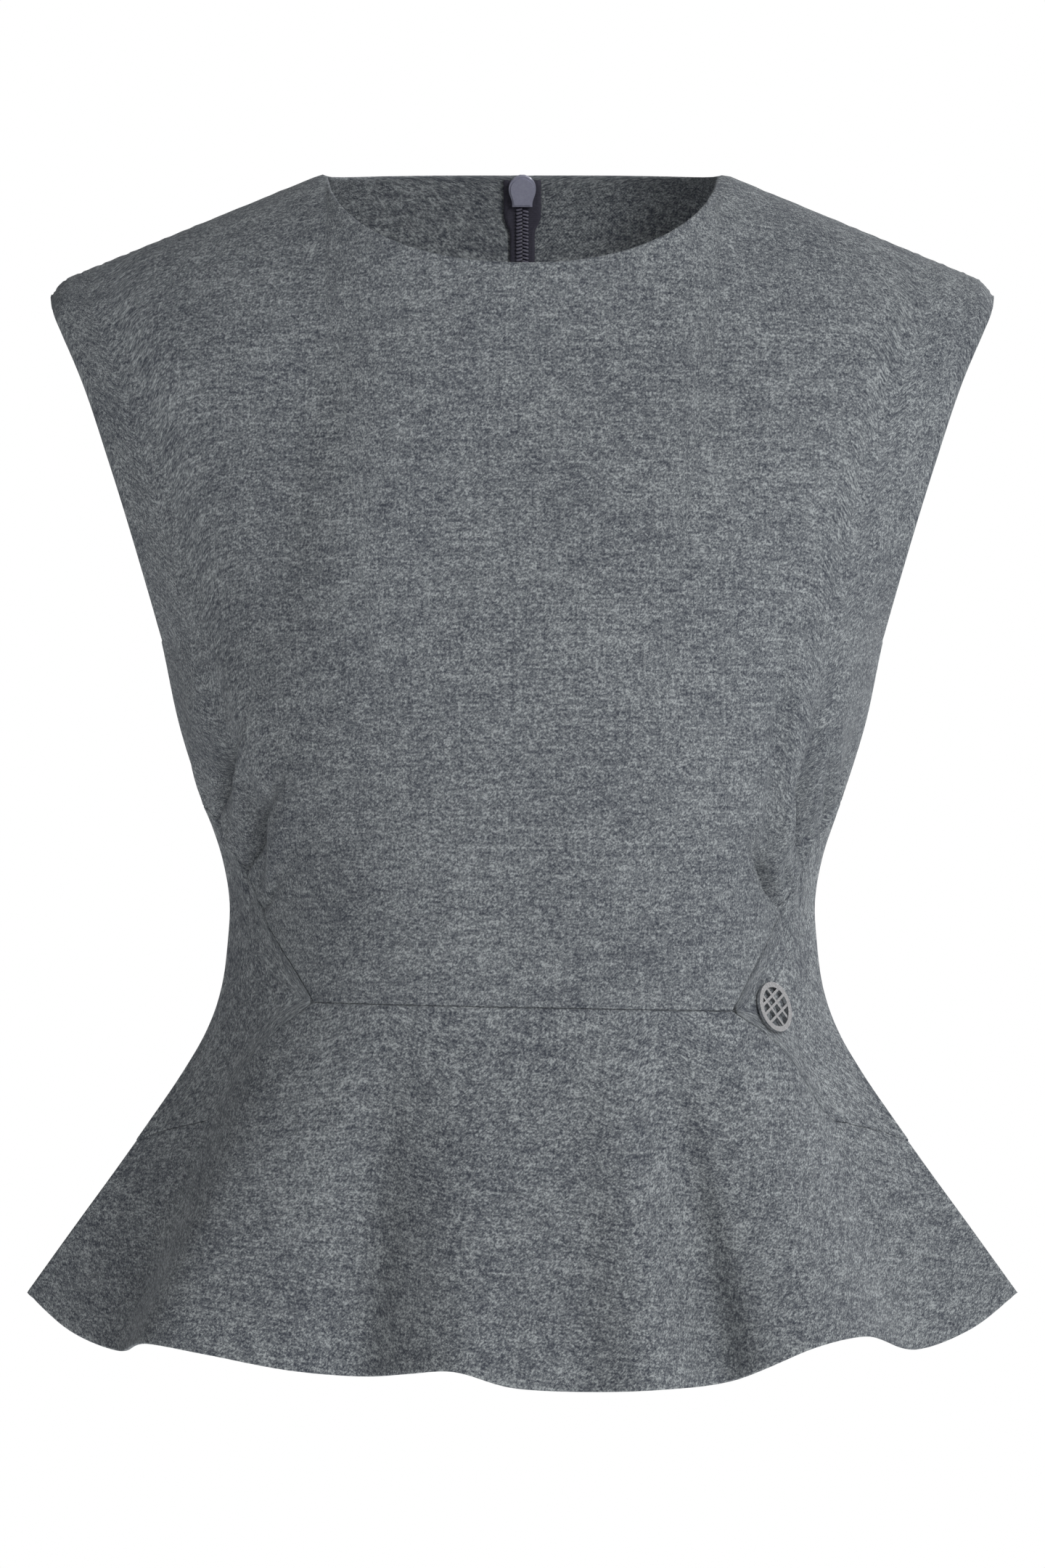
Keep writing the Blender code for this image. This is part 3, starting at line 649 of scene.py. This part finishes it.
def mirrored(columns):
    return [-c for c in reversed(columns[1:])] + list(columns)


def columns_from_centre():
    """Panel columns from the centre line to the side seam, closer at the edges and in the gathers."""
    centre = fine_steps([0, 0.12, 0.3, 0.5, 0.8, 1.5, 24.0, 24.49, 25, INSET_POINT, GATHERS_START], WIDE_STEP)
    side = fine_steps([GATHERS_START, 87.0, 88.2, 89.0, 89.5, 90.0], GATHER_STEP)
    return centre + side[1:]


EDGE_SHARES = (0.0012, 0.0028, 0.005, 0.0085)


def bodice_rows():
    """Rows of the bodice, close together at the gathers, the underarm and the shoulder arch."""
    lower = fine_steps([EDGE_SHARES[-1], 0.3], 0.0075)
    middle = fine_steps([0.3, 0.31, 0.3138, 0.318, 0.33, 0.36, 0.8], 0.0115)[1:]
    arch = [1 - 0.2 * (1 - math.cos(math.radians(a))) for a in range(87, 6, -3)]
    top = [1 - 0.2 * (1 - math.cos(math.radians(a))) for a in (5.5, 4, 2.6, 1.3, 0)]
    return [0, *EDGE_SHARES[:-1], *lower, *middle, *arch, *top]


def sewn_rows(step, low_edge, high_edge):
    """Evenly spaced rows with closer ones at the ends that are rounded."""
    inner = fine_steps([0.02, 0.98], step)
    start = [0, 0.002, 0.005, 0.01] if low_edge else [0]
    end = [0.99, 0.995, 0.998, 1] if high_edge else [1]
    return [*start, *inner, *end]


def make_bodice():
    """The front in one piece, and two backs that meet at the zip."""
    rows = bodice_rows()
    curves = (bodice_bottom, bodice_top)
    columns = columns_from_centre()
    front = [(a, FRONT) for a in mirrored(columns)]
    made = [panel("cloth_bodice_front", front, curves, rows, (True, False), "all")]
    for side, half in (("left", -1), ("right", 1)):
        places = [(half * a, BACK) for a in columns]
        made.append(panel(f"cloth_bodice_back_{side}", places, curves, rows, (True, False), "all", half))
    return made


def make_insets():
    """One inset at each side, from its front point round the side to its back point."""
    columns = [a for a in columns_from_centre() if a > INSET_POINT + 0.2]
    made = []
    for side, half in (("left", -1), ("right", 1)):
        ahead = [(half * a, FRONT) for a in columns]
        behind = [(half * a, BACK) for a in reversed(columns[:-1])]
        rows = sewn_rows(0.022, True, True)
        curves = (peplum_top, bodice_bottom)
        name = f"cloth_side_inset_{side}"
        made.append(panel(name, ahead + behind, curves, rows, (True, True), "top edge", bias=0.5 * half))
    return made


def make_peplum():
    """The peplum's front in one piece and its back in two."""
    columns = columns_from_centre()
    rows = sewn_rows(0.018, True, True)
    curves = (hem_height, peplum_top)
    front = [(a, FRONT) for a in mirrored(columns)]
    made = [panel("cloth_peplum_front", front, curves, rows, (False, True), bias=0.12)]
    for side, half in (("left", -1), ("right", 1)):
        places = [(half * a, BACK) for a in columns]
        made.append(panel(f"cloth_peplum_back_{side}", places, curves, rows, (False, True), half=half, bias=0.3 * half))
    return made


def node(tree, kind, x=0, y=0, **settings):
    """A shader node with its plain properties set."""
    made = tree.nodes.new(kind)
    made.location = (x, y)
    for key, value in settings.items():
        setattr(made, key, value)
    return made


def new_material(name, roughness, metallic=0.0):
    """A node material and its shader, ready for its colour and bump."""
    made = bpy.data.materials.new(name)
    made.use_nodes = True
    shader = made.node_tree.nodes["Principled BSDF"]
    shader.inputs["Roughness"].default_value = roughness
    shader.inputs["Metallic"].default_value = metallic
    return made, made.node_tree, shader


def stretched_noise(tree, source, scale, detail=2.0, roughness=0.6):
    """Noise over coordinates stretched by a scale for each axis, in features per metre."""
    mapping = node(tree, "ShaderNodeMapping")
    mapping.inputs["Scale"].default_value = scale
    tree.links.new(source, mapping.inputs["Vector"])
    noise = node(tree, "ShaderNodeTexNoise")
    noise.inputs["Scale"].default_value = 1.0
    noise.inputs["Detail"].default_value = detail
    noise.inputs["Roughness"].default_value = roughness
    tree.links.new(mapping.outputs["Vector"], noise.inputs["Vector"])
    return noise.outputs["Fac"]


def math_node(tree, operation, first, second):
    """A math node on two values, each a socket or a number."""
    made = node(tree, "ShaderNodeMath", operation=operation)
    for socket, value in zip(made.inputs, (first, second)):
        if isinstance(value, (int, float)):
            socket.default_value = value
        else:
            tree.links.new(value, socket)
    return made.outputs[0]


def centred(tree, value, weight):
    """A noise value moved to lie round zero and weighted."""
    return math_node(tree, "MULTIPLY", math_node(tree, "SUBTRACT", value, 0.5), weight)


_made_materials = {}


def flannel_material():
    """Milled melange wool flannel: light and dark fibres over a fine diagonal twill, with a short nap."""
    if "flannel" in _made_materials:
        return _made_materials["flannel"]
    made, tree, shader = new_material("wool flannel", 0.92)
    place = node(tree, "ShaderNodeAttribute", attribute_name="weave").outputs["Vector"]

    turned = node(tree, "ShaderNodeMapping")
    turned.inputs["Rotation"].default_value = (0, 0, math.radians(-52))
    tree.links.new(place, turned.inputs["Vector"])
    fibres = stretched_noise(tree, turned.outputs["Vector"], (620, 1900, 9), 3.0, 0.75)
    specks = stretched_noise(tree, place, (900, 900, 9), 2.0, 0.7)
    tufts = stretched_noise(tree, place, (330, 420, 9), 3.0, 0.65)
    blotches = stretched_noise(tree, place, (95, 120, 9), 3.0, 0.55)
    clouds = stretched_noise(tree, place, (14, 18, 9), 2.0, 0.5)
    streaks = stretched_noise(tree, place, (26, 620, 9), 2.0, 0.6)
    warp = stretched_noise(tree, place, (560, 34, 9), 2.0, 0.6)

    mixed = 0.5
    weights = (
        (fibres, 1.7), (specks, 2.1), (tufts, 1.5), (blotches, 0.6),
        (clouds, 0.3), (streaks, 0.5), (warp, 0.3),
    )
    for value, weight in weights:
        mixed = math_node(tree, "ADD", mixed, centred(tree, value, weight))
    ramp = node(tree, "ShaderNodeValToRGB")
    ramp.color_ramp.interpolation = "EASE"
    stops = (
        (0.0, (0.048, 0.054, 0.068)),
        (0.34, (0.108, 0.118, 0.134)),
        (0.55, (0.170, 0.184, 0.196)),
        (1.0, (0.36, 0.385, 0.395)),
    )
    ramp.color_ramp.elements[0].position = stops[0][0]
    ramp.color_ramp.elements[1].position = stops[-1][0]
    for position, _ in stops[1:-1]:
        ramp.color_ramp.elements.new(position)
    for element, (_, colour) in zip(ramp.color_ramp.elements, stops):
        element.color = (*colour, 1)
    tree.links.new(mixed, ramp.inputs["Fac"])
    tree.links.new(ramp.outputs["Color"], shader.inputs["Base Color"])

    twill = node(tree, "ShaderNodeTexWave", wave_type="BANDS", bands_direction="X")
    twill.inputs["Scale"].default_value = 330.0
    twill.inputs["Distortion"].default_value = 2.2
    twill.inputs["Detail"].default_value = 2.0
    twill.inputs["Detail Scale"].default_value = 1.6
    tree.links.new(turned.outputs["Vector"], twill.inputs["Vector"])
    nap = math_node(tree, "ADD", math_node(tree, "MULTIPLY", tufts, 0.9), math_node(tree, "MULTIPLY", fibres, 0.6))
    height = math_node(tree, "ADD", nap, math_node(tree, "MULTIPLY", twill.outputs["Fac"], 0.22))
    bump = node(tree, "ShaderNodeBump")
    bump.inputs["Strength"].default_value = 0.55
    bump.inputs["Distance"].default_value = 0.0005
    tree.links.new(height, bump.inputs["Height"])
    tree.links.new(bump.outputs["Normal"], shader.inputs["Normal"])
    shader.inputs["Sheen Weight"].default_value = 0.05
    shader.inputs["Sheen Roughness"].default_value = 0.55
    shader.inputs["Sheen Tint"].default_value = (0.86, 0.9, 0.95, 1)
    shader.inputs["Specular IOR Level"].default_value = 0.15
    _made_materials["flannel"] = made
    return made


def tape_material():
    """Fine woven polyester tape with a herringbone."""
    made, tree, shader = new_material("zip tape", 0.8)
    place = node(tree, "ShaderNodeTexCoord").outputs["Object"]
    noise = stretched_noise(tree, place, (1500, 1500, 900), 2.0)
    ramp = node(tree, "ShaderNodeValToRGB")
    ramp.color_ramp.elements[0].color = (0.016, 0.015, 0.026, 1)
    ramp.color_ramp.elements[1].color = (0.06, 0.057, 0.085, 1)
    tree.links.new(noise, ramp.inputs["Fac"])
    tree.links.new(ramp.outputs["Color"], shader.inputs["Base Color"])
    ribs = node(tree, "ShaderNodeTexWave", wave_type="BANDS", bands_direction="Z")
    ribs.inputs["Scale"].default_value = 600.0
    tree.links.new(place, ribs.inputs["Vector"])
    bump = node(tree, "ShaderNodeBump")
    bump.inputs["Strength"].default_value = 0.4
    bump.inputs["Distance"].default_value = 0.0003
    tree.links.new(ribs.outputs["Fac"], bump.inputs["Height"])
    tree.links.new(bump.outputs["Normal"], shader.inputs["Normal"])
    return made


def speckled_material(name, dark, light, roughness, metallic, scale, bump_depth):
    """A hard finish with slight mottling in its colour and roughness and a fine bump."""
    made, tree, shader = new_material(name, roughness, metallic)
    place = node(tree, "ShaderNodeTexCoord").outputs["Object"]
    noise = stretched_noise(tree, place, (scale, scale, scale), 4.0, 0.6)
    ramp = node(tree, "ShaderNodeValToRGB")
    ramp.color_ramp.elements[0].color = (*dark, 1)
    ramp.color_ramp.elements[0].position = 0.3
    ramp.color_ramp.elements[1].color = (*light, 1)
    ramp.color_ramp.elements[1].position = 0.7
    tree.links.new(noise, ramp.inputs["Fac"])
    tree.links.new(ramp.outputs["Color"], shader.inputs["Base Color"])
    spread = node(tree, "ShaderNodeMapRange")
    spread.inputs["To Min"].default_value = roughness - 0.08
    spread.inputs["To Max"].default_value = roughness + 0.1
    tree.links.new(noise, spread.inputs["Value"])
    tree.links.new(spread.outputs["Result"], shader.inputs["Roughness"])
    bump = node(tree, "ShaderNodeBump")
    bump.inputs["Strength"].default_value = 0.25
    bump.inputs["Distance"].default_value = bump_depth
    tree.links.new(noise, bump.inputs["Height"])
    tree.links.new(bump.outputs["Normal"], shader.inputs["Normal"])
    return made


def grid_strip(name, x_inner, x_outer, levels, layer, finish, node_name):
    """A thin strip inside the back, between two distances from the centre line."""
    grids = []
    for depth in layer:
        share = np.linspace(0, 1, 5)
        x = x_inner[:, None] + (x_outer - x_inner)[:, None] * share
        z = np.repeat(levels[:, None], 5, axis=1)
        angle = np.degrees(np.arcsin(x / half_width(z)))
        grid = surface(angle, z, BACK) + normals(angle, z, BACK) * depth
        grid[..., 0] = x
        grids.append(grid)
    points = np.concatenate([g.reshape(-1, 3) for g in grids])
    made = mesh_object(name, points, wall_faces(*grids[0].shape[:2]), finish)
    make_outward(made)
    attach(made, "top")
    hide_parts(node_name)
    return made


def make_tapes(finish):
    """Two woven tapes along the inner edges of the backs, wider at the neck."""
    levels = np.linspace(ZIP_END_Z, BACK_NECK_RISE - 1.5, 150)
    made = []
    for side, half in (("left", -1), ("right", 1)):
        inner = slit_half_gap(levels, TAPE_OPENS_Z, TAPE_EDGE)
        outer = TAPE_WIDTH + (TAPE_TOP_WIDTH - TAPE_WIDTH) * ease(TAPE_TOP_Z[0], TAPE_TOP_Z[1], levels)
        name = f"zip_tape_{side}"
        strip = grid_strip(f"woven_{name}", half * inner, half * outer, levels, TAPE_LAYER, finish, name)
        made.append(strip)
    return made


def slider_place():
    """The frame of the slider: x across, y up the back, z out of it."""
    out = Vector(normals(np.array([0.0]), np.array([SLIDER_Z]), BACK)[0])
    across = Vector((-1, 0, 0))
    up = out.cross(across).normalized()
    place = Matrix((across, up, out)).transposed().to_4x4()
    place.translation = Vector(HINGE_POINT) - out * EYE_STANDOFF
    return place


def capsule(start, end, radius, turns=8, rings=3):
    """Points and faces of a short rod with round ends."""
    start, end = np.array(start), np.array(end)
    axis = (end - start) / np.linalg.norm(end - start)
    side = np.cross(axis, (0, 0.3, 1))
    side = side / np.linalg.norm(side)
    other = np.cross(axis, side)
    stations = []
    for i in range(rings + 1):
        t = math.pi / 2 * i / rings
        stations.append((start - axis * radius * math.cos(t), max(radius * math.sin(t), 0.03)))
    for i in range(rings, -1, -1):
        t = math.pi / 2 * i / rings
        stations.append((end + axis * radius * math.cos(t), max(radius * math.sin(t), 0.03)))
    points = []
    for centre, r in stations:
        for j in range(turns):
            t = 2 * math.pi * j / turns
            points.append(centre + r * (math.cos(t) * side + math.sin(t) * other))
    faces = [list(range(turns))[::-1]]
    for i in range(len(stations) - 1):
        for j in range(turns):
            k = (j + 1) % turns
            faces.append([i * turns + j, i * turns + k, (i + 1) * turns + k, (i + 1) * turns + j])
    faces.append([(len(stations) - 1) * turns + j for j in range(turns)])
    return points, faces


def make_chain(finish):
    """Two rows of coil teeth that interlock down the centre back, joined in one mesh."""
    place = slider_place()
    top = (place @ Vector((0, -SLIDER_DROP, SLIDER_LAYER[0]))).z - 0.6
    count = int((top - ZIP_END_Z) / TOOTH_PITCH)
    points = []
    faces = []
    for i in range(count):
        for row, half in enumerate((-1, 1)):
            z = top - (i + 0.5 * row) * TOOTH_PITCH
            centre = surface(0.0, z, BACK)
            out = normals(np.array([0.0]), np.array([z]), BACK)[0]
            middle = centre + out * CHAIN_DEPTH
            inner = middle + np.array([half * (TOOTH_OFFSET - TOOTH_LENGTH / 2), 0, 0.25])
            outer = middle + np.array([half * (TOOTH_OFFSET + TOOTH_LENGTH / 2), 0, -0.25])
            more, order = capsule(inner, outer, TOOTH_RADIUS)
            faces += [[len(points) + k for k in face] for face in order]
            points += more
    made = mesh_object("coil_teeth", points, faces, finish)
    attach(made, "top")
    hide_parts("zip_chain")
    return made


def prism_object(name, outline, low, high, finish, place, bevel=0.25, segments=3):
    """A prism over an outline, from one level to another, with rounded edges."""
    count = len(outline)
    points = [place @ Vector((x, y, low)) for x, y in outline]
    points += [place @ Vector((x, y, high)) for x, y in outline]
    faces = [list(range(count))[::-1], list(range(count, 2 * count))]
    faces += [[i, (i + 1) % count, count + (i + 1) % count, count + i] for i in range(count)]
    made = mesh_object(name, [tuple(p) for p in points], faces, finish)
    make_outward(made)
    if bevel:
        add_bevel(made, bevel, segments)
    return made


def add_bevel(made, width, segments=3):
    """Rounds the sharp edges of a hard piece."""
    modifier = made.modifiers.new("rounding", "BEVEL")
    modifier.width = width * MM
    modifier.segments = segments
    modifier.limit_method = "ANGLE"
    modifier.angle_limit = math.radians(40)


def add_boolean(target, operand, operation):
    """Joins or cuts with a helper and applies it, so that the helper can go."""
    modifier = target.modifiers.new(operation.lower(), "BOOLEAN")
    modifier.operation = operation
    modifier.object = operand
    applied = bpy.data.meshes.new_from_object(target.evaluated_get(bpy.context.evaluated_depsgraph_get()))
    target.modifiers.clear()
    target.data = applied
    bpy.data.objects.remove(operand, do_unlink=True)


def smooth_outline(rows, per_row=6):
    """A smooth run of points through (position, half width) rows."""
    marks = np.array(rows, float)
    order = np.argsort(marks[:, 0])
    at = np.linspace(marks[order[0], 0], marks[order[-1], 0], per_row * len(rows))
    return [(float(w), float(p)) for p, w in zip(at, spline(marks[order, 0], marks[order, 1], at))]


def circle(radius, count):
    turns = [2 * math.pi * i / count for i in range(count)]
    return [(radius * math.cos(t), radius * math.sin(t)) for t in turns]


def make_slider(finish):
    """The slider: a bulb-shaped plate inside the back, and an eye outside it on a flat stem."""
    place = slider_place()
    half = [(w, SLIDER_LENGTH * s - SLIDER_DROP) for w, s in smooth_outline(SLIDER_WIDTHS)]
    outline = half + [(-w, y) for w, y in reversed(half)]
    body = prism_object("slider_body", outline, SLIDER_LAYER[1] + 0.5, SLIDER_LAYER[0], finish, place, 0)
    crown = [(w * 0.86, y * 0.86 - 0.1) for w, y in outline]
    face = prism_object("slider_crown", crown, SLIDER_LAYER[1], SLIDER_LAYER[1] + 0.9, finish, place, 0)
    add_boolean(body, face, "UNION")

    tall = STEM_HEIGHT / 2
    base = SLIDER_LAYER[0] - 1
    stem_outline = [(-tall, base), (tall, base), (tall, EYE_STANDOFF), (-tall, EYE_STANDOFF)]
    sideways = place @ Matrix(((0, 0, 1, 0), (1, 0, 0, 0), (0, 1, 0, 0), (0, 0, 0, 1)))
    thick = STEM_WIDTH / 2
    stem = prism_object("stem", stem_outline, -thick, thick, finish, sideways, 0)
    eye = [(y, z + EYE_STANDOFF) for y, z in circle(EYE_RADIUS, 40)]
    ring = prism_object("eye", eye, -thick, thick, finish, sideways, 0)
    hole = [(y, z + EYE_STANDOFF) for y, z in circle(EYE_HOLE, 32)]
    bore = prism_object("bore", hole, -thick - 1, thick + 1, finish, sideways, 0)
    add_boolean(body, stem, "UNION")
    add_boolean(body, ring, "UNION")
    add_boolean(body, bore, "DIFFERENCE")
    body.data.set_sharp_from_angle(angle=math.radians(35))
    add_bevel(body, 0.22, 3)
    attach(body, "top")
    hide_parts("zip_slider")
    return body


def make_pull(finish):
    """The pull tab: a teardrop plate whose top bar turns in the slider's eye."""
    place = slider_place() @ Matrix.Translation((0, 0, EYE_STANDOFF))
    place = place @ Matrix.Rotation(math.radians(PULL_LEAN), 4, "X")
    thick = PULL_THICKNESS / 2
    half = smooth_outline(PULL_OUTLINE)
    outline = half + [(-w, y) for w, y in reversed(half)]
    plate = prism_object("pull_tab", outline, -thick, thick, finish, place, 0)
    wide, window_top, window_bottom = PULL_WINDOW
    window = [(-wide, window_bottom), (wide, window_bottom), (wide, window_top), (-wide, window_top)]
    cut = prism_object("window", window, -thick - 1, thick + 1, finish, place, 0)
    add_boolean(plate, cut, "DIFFERENCE")
    plate.data.set_sharp_from_angle(angle=math.radians(35))
    add_bevel(plate, 0.25, 3)
    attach(plate, "pull")
    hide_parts("zip_pull")
    return plate


def badge_place():
    """The frame of the badge: z out of the inset, y up."""
    angle = np.array([BADGE_ANGLE])
    z = np.array([BADGE_Z])
    out = Vector(normals(angle, z, FRONT)[0])
    foot = Vector(surface(angle, z, FRONT)[0]) + out * BADGE_LIFT
    up = (Vector((0, 0, 1)) - out * out.z).normalized()
    place = Matrix((up.cross(out), up, out)).transposed().to_4x4()
    place.translation = foot
    return place


def make_badge(finish):
    """A round openwork badge: a ring with a lattice of crossing bars."""
    place = badge_place()
    ring = prism_object("badge_metal_ring", circle(BADGE_RADIUS, 96), 0, BADGE_THICKNESS, finish, place, 0)
    bore = prism_object("bore", circle(BADGE_RADIUS - BADGE_BAND, 96), -1, BADGE_THICKNESS + 1, finish, place, 0)
    add_boolean(ring, bore, "DIFFERENCE")
    reach_radius = BADGE_RADIUS - BADGE_BAND / 2
    half = BADGE_BAR_WIDTH / 2
    for offset, tilt in BADGE_BARS:
        reach = math.sqrt(reach_radius**2 - offset**2)
        bar = [(-reach, offset - half), (reach, offset - half), (reach, offset + half), (-reach, offset + half)]
        turn = place @ Matrix.Rotation(math.radians(tilt), 4, "Z")
        low, high = (0.25, BADGE_THICKNESS - 0.25) if tilt > 0 else (0.4, BADGE_THICKNESS - 0.4)
        add_boolean(ring, prism_object("bar", bar, low, high, finish, turn, 0), "UNION")
    ring.data.set_sharp_from_angle(angle=math.radians(35))
    add_bevel(ring, 0.28, 3)
    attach(ring, "top")
    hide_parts("badge")
    return ring


def make_camera():
    """A long lens level with the middle of the photograph's frame."""
    high = FRAME_PIXELS[1] * PIXEL * MM
    middle_x = (FRAME_PIXELS[0] / 2 - CENTRE_COLUMN) * PIXEL * MM
    middle_z = (NECK_ROW - FRAME_PIXELS[1] / 2) * PIXEL * MM
    data = bpy.data.cameras.new("camera")
    data.sensor_width = 36.0
    data.lens = data.sensor_width * CAMERA_DISTANCE / high
    made = bpy.data.objects.new("camera", data)
    made.location = (middle_x, -CAMERA_DISTANCE, middle_z)
    made.rotation_euler = (math.radians(90), 0, 0)
    bpy.context.scene.collection.objects.link(made)
    bpy.context.scene.camera = made


def area_light(name, location, target, size, power):
    """A soft square light that looks at a target."""
    data = bpy.data.lights.new(name, "AREA")
    data.shape = "SQUARE"
    data.size = size
    data.energy = power
    made = bpy.data.objects.new(name, data)
    made.location = location
    aim = Vector(target) - Vector(location)
    made.rotation_euler = aim.to_track_quat("-Z", "Y").to_euler()
    bpy.context.scene.collection.objects.link(made)
    return made


def make_stage():
    """A pale floor, a white surround, and soft light that is stronger from the right."""
    reach = FLOOR_HALF_WIDTH / MM
    corners = [(x * reach, y * reach, FLOOR_Z / MM) for x, y in ((-1, -1), (1, -1), (1, 1), (-1, 1))]
    pale = speckled_material("pale floor", (0.88, 0.88, 0.88), (0.91, 0.91, 0.91), 0.8, 0.0, 6.0, 0.0005)
    shader = pale.node_tree.nodes["Principled BSDF"]
    shader.inputs["Emission Color"].default_value = (1, 1, 1, 1)
    shader.inputs["Emission Strength"].default_value = FLOOR_GLOW
    mesh_object("floor", corners, [[0, 1, 2, 3]], pale)
    world = bpy.data.worlds.new("surround")
    world.use_nodes = True
    tree = world.node_tree
    background = tree.nodes["Background"]
    background.inputs["Color"].default_value = (1, 1, 1, 1)
    direction = node(tree, "ShaderNodeTexCoord").outputs["Generated"]
    split = node(tree, "ShaderNodeSeparateXYZ")
    tree.links.new(direction, split.inputs[0])
    across = node(tree, "ShaderNodeMapRange")
    across.inputs["From Min"].default_value = -1.0
    across.inputs["To Min"].default_value = SURROUND_FROM_LEFT
    across.inputs["To Max"].default_value = SURROUND_FROM_RIGHT
    tree.links.new(split.outputs["X"], across.inputs["Value"])
    tree.links.new(across.outputs["Result"], background.inputs["Strength"])
    seen = node(tree, "ShaderNodeBackground")
    seen.inputs["Color"].default_value = (1, 1, 1, 1)
    seen.inputs["Strength"].default_value = 1.0
    path = node(tree, "ShaderNodeLightPath")
    mix = node(tree, "ShaderNodeMixShader")
    tree.links.new(path.outputs["Is Camera Ray"], mix.inputs[0])
    tree.links.new(background.outputs[0], mix.inputs[1])
    tree.links.new(seen.outputs[0], mix.inputs[2])
    tree.links.new(mix.outputs[0], tree.nodes["World Output"].inputs[0])
    bpy.context.scene.world = world
    middle = (0, 0, -0.28)
    area_light("key", (1.9, -2.4, 1.2), middle, 1.1, KEY_POWER)
    area_light("back_key", (1.7, 2.6, 1.2), middle, 1.1, BACK_KEY_POWER)
    bpy.context.scene.view_settings.view_transform = "Standard"


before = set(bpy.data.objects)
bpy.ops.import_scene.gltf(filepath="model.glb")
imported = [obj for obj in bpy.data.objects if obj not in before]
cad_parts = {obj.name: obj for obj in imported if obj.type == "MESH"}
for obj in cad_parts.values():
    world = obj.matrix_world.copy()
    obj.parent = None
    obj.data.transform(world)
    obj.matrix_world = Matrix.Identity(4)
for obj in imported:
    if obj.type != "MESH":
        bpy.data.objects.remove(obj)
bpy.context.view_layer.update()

make_camera()
make_stage()
bodice_front, bodice_back_left, bodice_back_right = make_bodice()
inset_left, inset_right = make_insets()
peplum_front, peplum_back_left, peplum_back_right = make_peplum()
tape_finish = tape_material()
tape_left, tape_right = make_tapes(tape_finish)
make_chain(speckled_material("coil teeth", (0.09, 0.086, 0.12), (0.15, 0.145, 0.19), 0.34, 0.0, 900.0, 0.0001))
enamel = speckled_material("slider enamel", (0.30, 0.305, 0.40), (0.36, 0.365, 0.46), 0.36, 0.1, 700.0, 0.00005)
make_slider(enamel)
make_pull(enamel)
make_badge(speckled_material("badge metal", (0.48, 0.48, 0.49), (0.62, 0.62, 0.63), 0.24, 1.0, 800.0, 0.00003))
